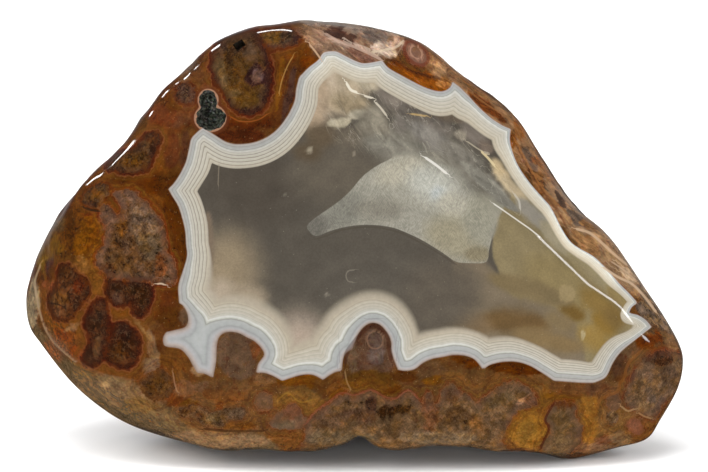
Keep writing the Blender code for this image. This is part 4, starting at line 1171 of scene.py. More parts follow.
def cube_grid():
    """A unit cube of six grids welded along its edges, with its front divided once more."""
    bm = bmesh.new()
    quarter = math.pi / 2
    sides = (
        (GRID_ACROSS, GRID_UP, 0.0, "X"), (GRID_ACROSS, GRID_UP, math.pi, "X"),
        (GRID_ACROSS, GRID_THROUGH, quarter, "X"), (GRID_ACROSS, GRID_THROUGH, -quarter, "X"),
        (GRID_THROUGH, GRID_UP, quarter, "Y"), (GRID_THROUGH, GRID_UP, -quarter, "Y"),
    )
    lift = Matrix.Translation((0.0, 0.0, 1.0))
    for cells_x, cells_y, turn, axis in sides:
        bmesh.ops.create_grid(bm, x_segments=cells_x, y_segments=cells_y, size=1.0,
                              matrix=Matrix.Rotation(turn, 4, axis) @ lift)
    bmesh.ops.remove_doubles(bm, verts=bm.verts, dist=WELD)
    front = [edge for edge in bm.edges if min(vert.co.z for vert in edge.verts) > CUBE_END]
    bmesh.ops.subdivide_edges(bm, edges=front, cuts=1, use_grid_fill=True)
    bmesh.ops.recalc_face_normals(bm, faces=bm.faces)
    return bm


def ray_directions(unit, tables):
    """Directions from the heart that spread the cube's corners evenly over the stone."""
    steps, rippled, _ = tables
    x, y, z = unit.T
    disc_x = x * np.sqrt(1.0 - y * y / 2.0)
    disc_y = y * np.sqrt(1.0 - x * x / 2.0)
    share = np.minimum(np.hypot(disc_x, disc_y), 1.0)
    turn = np.arctan2(disc_y * HALF_SPANS[1], disc_x * HALF_SPANS[0])
    reach = np.interp(turn, steps, rippled, period=FULL_TURN)
    waist = WAIST_LEVEL + WAIST_SLOPE * reach * np.cos(turn) - RIM_BELOW_WAIST - HEART[2]
    through = (1.0 - z) / 2.0
    front = z > CUBE_END
    back = z < -CUBE_END
    fraction = np.where(front, np.interp(share, FRONT_SHARES, FRONT_REACHES),
                        np.where(back, BACK_EDGE_REACH * share, 1.0 + (BACK_EDGE_REACH - 1.0) * through ** 2))
    to_waist = np.clip((share - FRONT_SHARES[2]) / (1.0 - FRONT_SHARES[2]), 0.0, 1.0)
    front_height = np.interp(share, FRONT_SHARES[:3], FRONT_HEIGHTS[:3]) * (1.0 - to_waist) + waist * to_waist
    back_height = BACK_CENTRE_HEIGHT + (BACK_EDGE_HEIGHT - BACK_CENTRE_HEIGHT) * share ** 2
    side_height = waist + (BACK_EDGE_HEIGHT - waist) * through
    height = np.where(front, front_height, np.where(back, back_height, side_height))
    rays = np.stack((np.cos(turn) * fraction * reach, np.sin(turn) * fraction * reach, height), axis=1)
    return rays / np.linalg.norm(rays, axis=1)[:, None]


def worn(points, tables):
    """Wear lumps and dents into the natural back, and faint ones into the polished rim."""
    u, v, w = points.T
    above = above_waist(u, w)
    offset = points - np.array(HEART)
    reach = np.hypot(offset[:, 0], offset[:, 1]) / outline_reach(u, v, w, tables)
    rim = smooth_step(*RIM_WEAR_REACHES, reach) * smooth_step(*RIM_WEAR_LEVELS, above)
    depth = np.zeros(len(points))
    for mask, relief in ((smooth_step(*BACK_WEAR_LEVELS, above), BACK_RELIEF), (rim, RIM_RELIEF)):
        for number, (size, height) in enumerate(relief):
            depth += mask * height * (0.5 + 0.5 * lattice_noise(points / size, BACK_SEED + number))
    inward = offset / np.linalg.norm(offset, axis=1)[:, None]
    return points - inward * depth[:, None]


def fit_to_box(points, box):
    """The matrix that brings the points, in millimetres, into the box of the solid, in metres."""
    low, high = (np.array(corner) for corner in box)
    lowest = points.min(axis=0)
    highest = points.max(axis=0)
    scale = (high - low) / (highest - lowest)
    shift = low - lowest * scale
    return Matrix.Translation(shift) @ Matrix.Diagonal((*scale, 1.0))


def seated(points):
    """The points of the face frame in the world, in millimetres, with the flat cut at the floor."""
    placed = moved(face_to_world(), points)
    placed[:, 2] = np.maximum(placed[:, 2], 0.0)
    return placed


def make_stone(tables):
    """The body of the stone, and the matrix that places the face frame in the world, in metres."""
    bm = cube_grid()
    unit = np.array([vert.co[:] for vert in bm.verts])
    mesh = bpy.data.meshes.new("agate")
    bm.to_mesh(mesh)
    bm.free()
    points = fill_outline(surface_points(ray_directions(unit, tables), tables), tables)
    fit = fit_to_box(seated(points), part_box("agate_nodule"))
    corners = moved(fit, seated(worn(points, tables)))
    mesh.vertices.foreach_set("co", corners.astype(np.float32).ravel())
    stone = bpy.data.objects.new("agate", mesh)
    bpy.context.scene.collection.objects.link(stone)
    return stone, fit @ face_to_world()


def rigid_frame(placing):
    """The placing of the face frame without the slight stretch of its fit."""
    return Matrix.Translation(placing.translation) @ face_to_world().to_3x3().to_4x4() @ Matrix.Scale(MM, 4)


def make_vug_cutter(lobe, number, placing, tables):
    """One hollow of the vug: a half-sunk ball with a lumpy, crystalline wall."""
    bm = bmesh.new()
    bmesh.ops.create_icosphere(bm, subdivisions=VUG_SUBDIVISIONS, radius=1.0)
    points = np.array([vert.co[:] for vert in bm.verts])
    lumps = sum(height * lattice_noise(points * cells, seed + number) for cells, height, seed in VUG_LUMPS)
    for vert, lump in zip(bm.verts, lumps):
        vert.co *= 1.0 + VUG_ROUGHNESS * lump
    u, v = lobe["centre"]
    stretch = Matrix.Diagonal((lobe["half_width"], lobe["half_height"], lobe["depth"], 1.0))
    bm.transform(placing @ Matrix.Translation((u, v, face_level(u, v, tables))) @ stretch)
    return cutter_object("vug_cutter", bm, 1)


def make_pit_cutter(placing, tables):
    """The small square pit, sunk square to the surface."""
    u, v = PIT_CENTRE
    level = face_level(u, v, tables)
    run = 1.0
    slope = Vector((level - face_level(u + run, v, tables), level - face_level(u, v + run, tables), run))
    bm = bmesh.new()
    bmesh.ops.create_cube(bm, size=1.0)
    stretch = Matrix.Diagonal((PIT_SIDE, PIT_SIDE, 2.0 * PIT_DEPTH, 1.0))
    turn = slope.to_track_quat("Z", "Y").to_matrix().to_4x4() @ Matrix.Rotation(PIT_TURN, 4, "Z")
    bm.transform(placing @ Matrix.Translation((u, v, level)) @ turn @ stretch)
    return cutter_object("pit_cutter", bm, 2)


def cutter_object(name, bm, slot):
    """A cutter whose cut faces take the material of the given slot."""
    for face in bm.faces:
        face.material_index = slot
    mesh = bpy.data.meshes.new(name)
    bm.to_mesh(mesh)
    bm.free()
    made = bpy.data.objects.new(name, mesh)
    bpy.context.scene.collection.objects.link(made)
    return made


def cut(stone, cutters):
    """Take the cutters' shapes out of the stone and throw them away."""
    for cutter in cutters:
        for material in stone.data.materials:
            cutter.data.materials.append(material)
        boolean = stone.modifiers.new(cutter.name, "BOOLEAN")
        boolean.operation = "DIFFERENCE"
        boolean.solver = "EXACT"
        boolean.object = cutter
    finished = bpy.data.meshes.new_from_object(stone.evaluated_get(bpy.context.evaluated_depsgraph_get()))
    stone.modifiers.clear()
    stone.data = finished
    for cutter in cutters:
        bpy.data.objects.remove(cutter, do_unlink=True)


def shade(mesh):
    """Smooth shading with sharp edges where the hollows were cut."""
    mesh.shade_smooth()
    mesh.set_sharp_from_angle(angle=SHARP_ANGLE)


def signed_distance(places, outline):
    """Distance from each place to a closed outline, negative inside it."""
    ends = np.roll(outline, -1, axis=0)
    along = ends - outline
    squares = np.maximum((along ** 2).sum(axis=1), TINY)
    rise = np.where(np.abs(along[:, 1]) < TINY, TINY, along[:, 1])
    result = np.empty(len(places))
    for first in range(0, len(places), CHUNK):
        part = places[first:first + CHUNK]
        offset = part[:, None, :] - outline
        share = np.clip((offset * along).sum(axis=2) / squares, 0.0, 1.0)
        gap = offset - share[:, :, None] * along
        distance = np.sqrt((gap ** 2).sum(axis=2).min(axis=1))
        spans = (outline[:, 1] > part[:, 1, None]) != (ends[:, 1] > part[:, 1, None])
        crossing = outline[:, 0] + offset[:, :, 1] * along[:, 0] / rise
        inside = (spans & (part[:, 0, None] < crossing)).sum(axis=1) % 2 == 1
        result[first:first + CHUNK] = np.where(inside, -distance, distance)
    return result


def near(places, outline, margin):
    """Which places lie in the outline's box or within a margin of it."""
    low = outline.min(axis=0) - margin
    high = outline.max(axis=0) + margin
    return np.all((places > low) & (places < high), axis=1)


def fortification_outline():
    """The edge of the banded heart, as one closed line with its cusps kept sharp."""
    runs = list(FORTIFICATION.values())
    return np.vstack([open_curve(run + following[:1], LOBE_STEPS)
                      for run, following in zip(runs, runs[1:] + runs[:1])])


def band_measures(places):
    """Width, blue-grey share, inward glow, brightness and crispness of the band near each place."""
    rows = np.array(list(BAND_PLACES.values()), dtype=float)
    squares = ((places[:, None, :] - rows[:, :2]) ** 2).sum(axis=2) + BAND_BLEND ** 2
    weights = squares ** -2.0
    weights /= weights.sum(axis=1)[:, None]
    return (weights @ rows[:, 2:]).T


def beyond_ellipse(dx, dy, half_width, half_height, turn=0.0):
    """About how far an offset from an ellipse's centre lies beyond its edge, negative inside it."""
    angle = math.radians(turn)
    across = (dx * math.cos(angle) + dy * math.sin(angle)) / half_width
    up = (dy * math.cos(angle) - dx * math.sin(angle)) / half_height
    size = np.maximum(np.hypot(across, up), LEAST_SIZE)
    return np.hypot(dx, dy) * (1.0 - 1.0 / size)


def patch_cover(places, wobble, shape):
    """How much of a soft patch covers each place."""
    x, y, half_width, half_height, turn, softness = shape
    beyond = beyond_ellipse(places[:, 0] - x, places[:, 1] - y, half_width, half_height, turn) + wobble
    return smooth_step(0.5, -0.5, beyond / softness)


def plain_looks(look, count):
    """The same look for every corner."""
    return np.tile(np.array(look, dtype=float), (count, 1))


def covered(looks, look, cover):
    """The looks with one look laid over them where it covers them."""
    return looks + (np.array(look, dtype=float) - looks) * cover[:, None]


def lay_patches(places, wobble, looks, groups):
    """Lay soft patches over the looks, one after another."""
    for *shape, red, green, blue in itertools.chain(*groups.values()):
        looks = covered(looks, (red, green, blue), patch_cover(places, wobble, shape))
    return looks


def lay_areas(places, wobble, looks, areas):
    """Lay soft-edged areas over the looks."""
    for area in areas.values():
        distance = signed_distance(places, closed_curve(area["outline"], AREA_STEPS)) + 0.5 * wobble
        looks = covered(looks, area["look"], smooth_step(0.5, -0.5, distance / area["softness"]))
    return looks


def moss_lobes(places):
    """Distance to the nearest lobe of moss, its look, how strong and maroon its rings are, and its grain."""
    distance = np.full(len(places), NO_MOSS)
    looks = plain_looks(MOSS_BASE, len(places))
    halo = np.full(len(places), MOSS_BASE_HALO)
    maroon = np.zeros(len(places))
    grainy = np.ones(len(places))
    for name, lobe in MOSS_LOBES.items():
        outline = closed_curve(lobe["outline"], LOBE_STEPS)
        chosen = np.flatnonzero(near(places, outline, MOSS_REACH))
        found = signed_distance(places[chosen], outline)
        nearer = found < distance[chosen]
        chosen = chosen[nearer]
        distance[chosen] = found[nearer]
        looks[chosen] = lobe["tint"]
        halo[chosen] = lobe["halo"]
        maroon[chosen] = MAROON_RINGED.get(name, 0.0)
        grainy[chosen] = MOSS_GRAINS.get(name, 1.0)
    return distance, looks, halo, maroon, grainy


def vug_distance(points):
    """Distance in millimetres to the mouth of the vug, negative inside it."""
    nearest = np.full(len(points), OUT_OF_REACH)
    for lobe in VUG_LOBES:
        offset = points[:, :2] - lobe["centre"]
        nearest = np.minimum(nearest, beyond_ellipse(*offset.T, lobe["half_width"], lobe["half_height"]))
    return np.where(points[:, 2] > 0.0, nearest, OUT_OF_REACH)


def stroke_marks(places):
    """Signed distance to the nearest thin line in shares of its half width, its look and its cover."""
    share = np.full(len(places), OUT_OF_REACH)
    looks = np.zeros((len(places), 4))
    for half_width, cover, look, points in STROKES.values():
        course = np.vstack((open_curve(points, STROKE_STEPS), np.array(points[-1:], dtype=float)))
        chosen = np.flatnonzero(near(places, course, STROKE_REACH))
        along = course[1:] - course[:-1]
        squares = (along ** 2).sum(axis=1)
        offset = places[chosen][:, None, :] - course[:-1]
        part = np.clip((offset * along).sum(axis=2) / squares, 0.0, 1.0)
        gap = offset - part[:, :, None] * along
        lengths = (gap ** 2).sum(axis=2)
        best = lengths.argmin(axis=1)
        rows = np.arange(len(chosen))
        side = np.sign(along[best, 0] * offset[rows, best, 1] - along[best, 1] * offset[rows, best, 0])
        found = np.sqrt(lengths[rows, best]) * side / half_width
        nearer = np.abs(found) < np.abs(share[chosen])
        share[chosen[nearer]] = found[nearer]
        looks[chosen[nearer]] = (*(linear(look) / LIGHT_LEVEL), cover)
    return share, looks


def back_moss(points, candidates):
    """Random lobes of moss on the back and sides: distance in millimetres, and looks."""
    draw = np.random.default_rng(BACK_SEED)
    distance = np.full(len(points), OUT_OF_REACH)
    looks = plain_looks(BACK_MOSS_LOOKS[0], len(points))
    wobble = roughness(points, BACK_LOBE_WOBBLE)
    for number, centre in enumerate(draw.choice(candidates, BACK_LOBES, replace=False)):
        radius = draw.uniform(*BACK_LOBE_SIZES)
        found = np.linalg.norm((points - centre) * BACK_LOBE_SHAPE, axis=1) - radius + wobble
        nearer = found < distance
        distance[nearer] = found[nearer]
        looks[nearer] = BACK_MOSS_LOOKS[number % len(BACK_MOSS_LOOKS)]
    return distance, looks


def back_rind(points):
    """Looks of the natural rind, which drift from one to another."""
    share = 0.5 + roughness(points, BACK_RIND_DRIFT)
    steps = np.linspace(0.0, 1.0, len(BACK_LOOKS))
    channels = np.array(BACK_LOOKS, dtype=float).T
    return np.stack([np.interp(share, steps, channel) for channel in channels], axis=1)


def seen_places(points):
    """Where the points of the face frame are seen in the photograph's frame."""
    slope = PIXELS_PER_SLOPE / (CAMERA_DISTANCE - points[:, 2])
    return np.stack((PHOTO_CENTRE[0] + points[:, 0] * slope, PHOTO_CENTRE[1] - points[:, 1] * slope), axis=1)


def gloss_seen(points, normals):
    """Light that the polish adds from the floor and the room, as seen from the front, in the face frame."""
    to_camera = np.array((0.0, 0.0, CAMERA_DISTANCE)) - points
    to_camera /= np.linalg.norm(to_camera, axis=1)[:, None]
    facing = np.clip((to_camera * normals).sum(axis=1), 0.0, 1.0)
    mirrored = 2.0 * facing[:, None] * normals - to_camera
    height = mirrored[:, 1] * math.cos(FACE_LEAN) + mirrored[:, 2] * math.sin(FACE_LEAN)
    room = ROOM_DARK + (ROOM_IN_POLISH - ROOM_DARK) * smooth_step(*DARK_COSINE, mirrored[:, 2])
    seen = room + (FLOOR_GLOW - room) * smooth_step(*reversed(FLOOR_RISE), height)
    return seen * (STRAIGHT_MIRROR + (1.0 - STRAIGHT_MIRROR) * (1.0 - facing) ** 5)


def face_frame_direction(turn, away):
    """Direction in the face frame, away from the camera axis and towards a turn seen in the photograph."""
    turn = math.radians(turn)
    away = math.radians(away)
    return (math.sin(away) * math.cos(turn), math.sin(away) * math.sin(turn), math.cos(away))


def light_on(normals):
    """How much light slopes of the stone get from the room, the floor and the softboxes."""
    up = normals[:, 1] * math.cos(FACE_LEAN) + normals[:, 2] * math.sin(FACE_LEAN)
    light = 0.5 * ROOM_BRIGHT * (1.0 + up) + 0.5 * FLOOR_BOUNCE * (1.0 - up)
    for turn, away, distance, width, height, radiance, _ in SOFTBOXES.values():
        facing = np.clip(normals @ np.array(face_frame_direction(turn, away)), 0.0, 1.0)
        light = light + radiance * width * height / (math.pi * distance ** 2) * facing
    return light


def light_share(normals):
    """How much light a slope of the stone gets, as a share of what the face gets."""
    return np.clip(light_on(normals) / light_on(np.array([[0.0, 0.0, 1.0]])), *LIGHT_RANGE)


def write_number(mesh, name, values):
    """Keep one number for each corner of the mesh."""
    mesh.attributes.new(name, "FLOAT", "POINT").data.foreach_set("value", values.astype(np.float32))


def write_look(mesh, name, colours):
    """Keep one colour for each corner of the mesh."""
    if colours.shape[1] == 3:
        colours = np.hstack((colours, np.ones((len(colours), 1))))
    kept = mesh.attributes.new(name, "FLOAT_COLOR", "POINT")
    kept.data.foreach_set("color", colours.astype(np.float32).ravel())


def base_colours(looks, gloss, lit):
    """Base colours that come out as the looks, where the polish adds its gloss and a slope gets its light."""
    wanted = linear(looks)
    return np.clip(np.maximum(wanted - GLOSS_SHARE * gloss, GLOSS_KEEP * wanted) / lit, 0.0, MOST_PAINT)


def corners_and_normals(mesh, placing):
    """The mesh's corners and normals in the face frame, in millimetres."""
    corners = np.empty(len(mesh.vertices) * 3)
    mesh.vertices.foreach_get("co", corners)
    normals = np.empty(len(mesh.vertices) * 3)
    mesh.vertex_normals.foreach_get("vector", normals)
    points = moved(rigid_frame(placing).inverted(), corners.reshape(-1, 3))
    return points, normals.reshape(-1, 3) @ np.array(face_to_world())[:3, :3]


def mark_stone(stone, placing):
    """Work out every marking at the mesh's corners and keep them as attributes."""
    points, normals = corners_and_normals(stone.data, placing)
    count = len(points)
    places = seen_places(points)
    above = above_waist(points[:, 0], points[:, 2])
    front = smooth_step(*FRONT_STARTS, above)
    wobble = roughness(points, FINE_WOBBLE)
    ragged = roughness(points, RAGGED_WOBBLE) + wobble

    def blend(on_front, on_back):
        share = front if np.ndim(on_front) == 1 else front[:, None]
        return share * on_front + (1.0 - share) * on_back

    edge = signed_distance(places, fortification_outline())
    width, grey_share, glow, bright, crisp = band_measures(places)
    depth = -edge / width
    fade = LIT_FIBRES_FADE + sum(patch_cover(places, wobble, shape) * more for *shape, more in LIT_FIBRES_FADES)
    moss, moss_looks, halo, maroon, grainy = moss_lobes(places)
    moss_behind, looks_behind = back_moss(points, points[above < BACK_MOSS_LEVEL])
    facet_falls = np.array((math.cos(FACET_TURN), math.sin(FACET_TURN), 0.0))
    stroke, stroke_looks = stroke_marks(places)
    stroke_looks[:, 3] *= front
    numbers = {
        "edge": blend(edge * MM_PER_PIXEL, NO_HEART),
        "layer": np.where(depth < grey_share, depth / grey_share * GREY_END,
                          GREY_END + (depth - grey_share) / (1.0 - grey_share) * (1.0 - GREY_END)),
        "band_level": bright,
        "crisp": crisp,
        "heart": np.clip((-edge - width) / np.maximum(glow, LEAST_GLOW), *HEART_RANGE),
        "mottled": smooth_step(*MOTTLE_STARTS, edge * MM_PER_PIXEL),
        "facet": front * smooth_step(*FACET_COSINES, normals @ facet_falls),
        "veil": np.max([patch_cover(places, wobble, shape) for shape in VEIL_PATCHES], axis=0),
        "lit_fibres": signed_distance(places, closed_curve(LIT_FIBRES_OUTLINE, AREA_STEPS)) / fade,
        "moss": blend(moss * MM_PER_PIXEL, moss_behind),
        "halo": blend(halo, BACK_HALO),
        "maroon": blend(maroon, BACK_MAROON),
        "grainy": blend(grainy, BACK_GRAINS),
        "vug": vug_distance(points),
        "polish": smooth_step(*POLISH_STARTS, above),
        "stroke": stroke,
    }
    for name, values in numbers.items():
        write_number(stone.data, name, values)

    clear = lay_patches(places, wobble, plain_looks(CLEAR_BASE, count), CLEAR_WIDE)
    clear = lay_areas(places, wobble, clear, CLEAR_AREAS)
    rind = lay_patches(places, wobble, plain_looks(RIND_BASE, count), RIND_AREAS)
    # The bevel: the rind with a painted sheen of the floor's reflection
    rind = lay_areas(places, ragged, rind, RIND_BEVEL_SHEEN)
    rind = lay_patches(places, ragged, rind, RIND_PATCHES)
    looks = {
        "clear_tint": lay_patches(places, wobble, clear, CLEAR_PATCHES),
        "lit_fibres_tint": lay_patches(places, wobble, plain_looks(LIT_FIBRES_BASE, count), LIT_FIBRES_PATCHES),
        "moss_tint": blend(lay_patches(places, ragged, moss_looks, MOSS_PATCHES), looks_behind),
        "rind_tint": blend(rind, back_rind(points)),
    }
    gloss = gloss_seen(points, normals)[:, None]
    lit = LIGHT_LEVEL * blend(light_share(normals), 1.0)[:, None]
    for name, values in looks.items():
        write_look(stone.data, name, base_colours(values, gloss, lit))
    write_look(stone.data, "stroke_tint", stroke_looks)


class Nodes:
    """Short ways to add and join the nodes of one tree."""

    def __init__(self, tree):
        self.tree = tree

    def add(self, kind, **settings):
        """A new node with the given settings."""
        node = self.tree.nodes.new(kind)
        for name, value in settings.items():
            setattr(node, name, value)
        return node

    def feed(self, socket, value):
        """Link an output to the socket, or set its value."""
        if isinstance(value, bpy.types.NodeSocket):
            self.tree.links.new(value, socket)
        else:
            socket.default_value = value

    def made(self, node, inputs, output=0):
        """One output of a node whose named or numbered inputs are fed."""
        for name, value in inputs.items():
            self.feed(node.inputs[name], value)
        return node.outputs[output]

    def math(self, operation, *values):
        """One sum."""
        return self.made(self.add("ShaderNodeMath", operation=operation), dict(enumerate(values)))

    def smooth(self, value, low, high, start=0.0, end=1.0):
        """Ease from start to end as the value goes from low to high; low may be the larger."""
        if low > high:
            low, high, start, end = high, low, end, start
        node = self.add("ShaderNodeMapRange", interpolation_type="SMOOTHSTEP")
        inputs = {"Value": value, "From Min": low, "From Max": high, "To Min": start, "To Max": end}
        return self.made(node, inputs, "Result")

    def between(self, share, first, second):
        """A number between two others."""
        return self.made(self.add("ShaderNodeMix", data_type="FLOAT"), {"Factor": share, 2: first, 3: second})


class Wiring(Nodes):
    """The nodes of one material."""

    def __init__(self, name):
        self.material = bpy.data.materials.new(name)
        self.material.use_nodes = True
        super().__init__(self.material.node_tree)
        self.shader = self.tree.nodes["Principled BSDF"]
        self.place = self.scale(self.add("ShaderNodeTexCoord").outputs["Object"], 1.0 / MM)

    def mix(self, share, first, second, blend="MIX"):
        """Blend two colours."""
        node = self.add("ShaderNodeMix", data_type="RGBA", blend_type=blend)
        return self.made(node, {"Factor": share, 6: first, 7: second}, 2)

    def scale(self, vector, factor):
        """A colour made brighter or darker, or a place moved outward."""
        return self.made(self.add("ShaderNodeVectorMath", operation="SCALE"), {0: vector, "Scale": factor})

    def ramp(self, value, stops):
        """Colour and cover that follow a value through (place, colour) stops."""
        node = self.add("ShaderNodeValToRGB")
        self.feed(node.inputs["Fac"], value)
        elements = node.color_ramp.elements
        while len(elements) > 1:
            elements.remove(elements[0])
        elements[0].position, elements[0].color = stops[0]
        for place, colour in stops[1:]:
            elements.new(place).color = colour
        return node.outputs["Color"], node.outputs["Alpha"]

    def noise(self, name, place=None):
        """Cloudy noise with the measures of its name."""
        cells, detail, roughened, aside, distortion = NOISES[name]
        if place is None:
            place = self.shifted(aside)
        return self.made(self.add("ShaderNodeTexNoise"), {
            "Vector": place, "Scale": cells, "Detail": detail, "Roughness": roughened,
            "Distortion": distortion})

    def cells(self, scale, place):
        """The cells around scattered points: distance to the nearest one, and a colour for each."""
        node = self.add("ShaderNodeTexVoronoi")
        return self.made(node, {"Vector": place, "Scale": scale}, "Distance"), node.outputs["Color"]

    def along(self, value, other=0.0):
        """A place that depends on a number, for noise in rings."""
        return self.made(self.add("ShaderNodeCombineXYZ"), {0: value, 1: other})

    def shifted(self, amount):
        """The place, moved aside so that another noise differs."""
        if amount == 0.0:
            return self.place
        aside = tuple(amount * share for share in SHIFT)
        return self.made(self.add("ShaderNodeVectorMath", operation="ADD"), {0: self.place, 1: aside})

    def leaned(self, turn, across, along):
        """The place turned in the face, and counted in needles' widths and lengths."""
        return self.made(self.add("ShaderNodeMapping", vector_type="TEXTURE"), {
            "Vector": self.place, "Rotation": (0.0, math.radians(turn), 0.0),
            "Scale": (across, NEEDLE_DEPTH, along)})

    def number(self, name):
        """A number kept on the mesh."""
        return self.add("ShaderNodeAttribute", attribute_name=name).outputs["Fac"]

    def look(self, name):
        """A colour kept on the mesh, and its cover."""
        node = self.add("ShaderNodeAttribute", attribute_name=name)
        return node.outputs["Color"], node.outputs["Alpha"]

    def ease(self, name, value=None):
        """What the ease of this name makes of a value, or of the noise of its name."""
        return self.smooth(self.noise(name) if value is None else value, *EASES[name])

    def grained(self, colour, name, value=None):
        """A colour made brighter and darker by a named ease."""
        return self.scale(colour, self.ease(name, value))

    def hued(self, colour, name):
        """A colour turned towards a named hue."""
        return self.mix(1.0, colour, (*HUES[name], 1.0), "MULTIPLY")

    def touched(self, colour, name, share):
        """A colour with a named detail laid over it."""
        return self.mix(share, colour, paint(DETAILS[name]))

    def line(self, name, value):
        """Cover of thin lines where a value crosses their level."""
        return self.ease(name, self.math("ABSOLUTE", self.math("SUBTRACT", value, LINE_LEVELS[name])))

    def specked(self, colour, name):
        """A colour with small scattered specks."""
        cells, aside = SPECKS[name]
        return self.touched(colour, name, self.ease(name, self.cells(cells, self.shifted(aside))[0]))

    def crossing_needles(self, name):
        """Grain of fine needles that lie one way in some places and another way in others."""
        first_turn, second_turn, across, along = NEEDLES[name]
        first = self.noise("needles", self.leaned(first_turn, across, along))
        second = self.noise("needles", self.leaned(second_turn, across, along))
        return self.weighed(self.ease("needle_ribs"), first, second)

    def weighed(self, share, first, second):
        """The sum of two numbers, each by its share."""
        return self.math("ADD", self.math("MULTIPLY", first, share),
                         self.math("MULTIPLY", second, self.math("SUBTRACT", 1.0, share)))

    def bump(self, strength, distance, height):
        """Raise the fine grain of the surface."""
        inputs = {"Strength": strength, "Distance": distance * MM, "Height": height}
        self.feed_shader("Normal", self.made(self.add("ShaderNodeBump"), inputs))

    def feed_shader(self, name, value):
        """Set one input of the surface."""
        self.feed(self.shader.inputs[name], value)


def rind_colour(wires, edge, moss):
    """Brown rind with agate rings that follow the heart and the moss."""
    tint, _ = wires.look("rind_tint")
    cloud = wires.noise("rind_cloud")
    bend = wires.math("MULTIPLY", cloud, RING_BEND)
    heart_rings = wires.noise("rings_by_heart", wires.along(wires.math("ADD", edge, bend)))
    moss_rings = wires.noise("rings_by_moss", wires.along(wires.math("ADD", moss, bend), MOSS_RINGS_ASIDE))
    colour = wires.grained(wires.grained(tint, "rind_cloud", cloud), "rind_grain")
    colour = wires.mix(wires.number("mottled"), colour, wires.grained(colour, "rind_mottle"))
    ringed = wires.grained(colour, "rings_by_heart", heart_rings)
    colour = wires.mix(wires.ease("reach_from_heart", edge), colour, ringed)
    reach = wires.ease("reach_from_moss", moss)
    for name in ("dark_rings", "light_rings"):
        share = wires.math("MULTIPLY", reach, wires.ease(name, moss_rings))
        colour = wires.mix(share, colour, wires.hued(colour, name))
    for name in ("ruddy", "ochre", "maroon"):
        colour = wires.mix(wires.ease(name), colour, wires.hued(colour, name))
    streaks = wires.noise("facet_streaks", wires.leaned(*FACET_LEAN))
    streaked = wires.grained(colour, "facet_streaks", streaks)
    streaked = wires.touched(streaked, "pale_streaks", wires.ease("pale_streaks", streaks))
    return wires.specked(wires.mix(wires.number("facet"), colour, streaked), "rind_specks")


def moss_colour(wires):
    """Grainy moss: crossing needles, contour lines, and dark and light grains over its tint."""
    tint, _ = wires.look("moss_tint")
    colour = wires.mix(wires.ease("warm_moss"), wires.hued(tint, "cool_moss"), wires.hued(tint, "warm_moss"))
    for name in ("moss_coarse", "moss_blotches", "moss_fine"):
        colour = wires.grained(colour, name)
    colour = wires.grained(colour, "moss_needles", wires.crossing_needles("moss"))
    contours = wires.math("FRACT", wires.math("MULTIPLY", wires.noise("contours"), CONTOURS))
    colour = wires.mix(wires.line("contours", contours), colour, wires.hued(colour, "contours"))
    for name in ("threads", "crystals"):
        colour = wires.touched(colour, name, wires.line(name, wires.noise(name)))
    return wires.mix(wires.number("grainy"), tint, colour)


def ring_colour(wires, moss, halo, colour):
    """Lay the dark, red and pale rings over the edge of the moss."""
    low, high = RING_SPAN
    share = wires.math("DIVIDE", wires.math("SUBTRACT", moss, low), high - low)
    kinds = []
    for rings in (MOSS_RINGS, MAROON_RINGS):
        stops = [((distance - low) / (high - low), (*paint(look)[:3], cover))
                 for distance, look, cover in rings]
        kinds.append(wires.ramp(share, stops))
    fine, wide = kinds
    maroon = wires.smooth(wires.number("maroon"), 0.0, 1.0)
    cover = wires.weighed(maroon, wide[1], fine[1])
    least = wires.math("MULTIPLY", maroon, MAROON_UNBROKEN)
    unbroken = wires.math("MAXIMUM", wires.ease("ring_breaks"), least)
    cover = wires.math("MULTIPLY", cover, wires.math("MULTIPLY", halo, unbroken))
    return wires.mix(cover, colour, wires.mix(maroon, fine[0], wide[0]))


def heart_colour(wires):
    """The grey heart with its faint clouds and specks, and the pale patch in it: its fibres with painted
    light.
    """
    tint, _ = wires.look("clear_tint")
    arcs = wires.noise("heart_arcs", wires.along(wires.number("edge"), HEART_ARCS_ASIDE))
    colour = wires.grained(tint, "heart_arcs", arcs)
    for name in ("heart_cloud", "heart_dust"):
        colour = wires.grained(colour, name)
    colour = wires.specked(colour, "heart_specks")
    veil = wires.number("veil")
    wisps = wires.ease("wisps", wires.noise("wisps", wires.leaned(*WISP_LEAN)))
    colour = wires.scale(colour, wires.math("ADD", 1.0, wires.math("MULTIPLY", veil, wisps)))
    thread = wires.line("heart_threads", wires.noise("heart_threads", wires.leaned(*THREAD_LEAN)))
    colour = wires.touched(colour, "heart_threads", wires.math("MULTIPLY", thread, veil))
    # The pale patch: the stone's fibres with painted light
    pale, _ = wires.look("lit_fibres_tint")
    pale = wires.grained(pale, "quartz_needles", wires.crossing_needles("lit_fibres"))
    for name in ("lit_fibres_sparkle", "lit_fibres_cloud"):
        pale = wires.grained(pale, name)
    return wires.mix(wires.ease("quartz_edge", wires.number("lit_fibres")), colour, pale)


def band_colour(wires):
    """The white and grey bands, which follow their share of the band's width."""
    drift = wires.math("MULTIPLY", wires.math("SUBTRACT", wires.noise("band_drift"), 0.5), BAND_DRIFT)
    share = wires.math("ADD", wires.number("layer"), drift)
    soft, crisp = (wires.ramp(share, [(place, paint(look)) for place, look in layers])[0]
                   for layers in (SOFT_LAYERS, BAND_LAYERS))
    colour = wires.mix(wires.number("crisp"), soft, crisp)
    colour = wires.scale(colour, wires.math("MULTIPLY", wires.number("band_level"), BAND_LEVEL))
    return wires.grained(colour, "band_cloud")


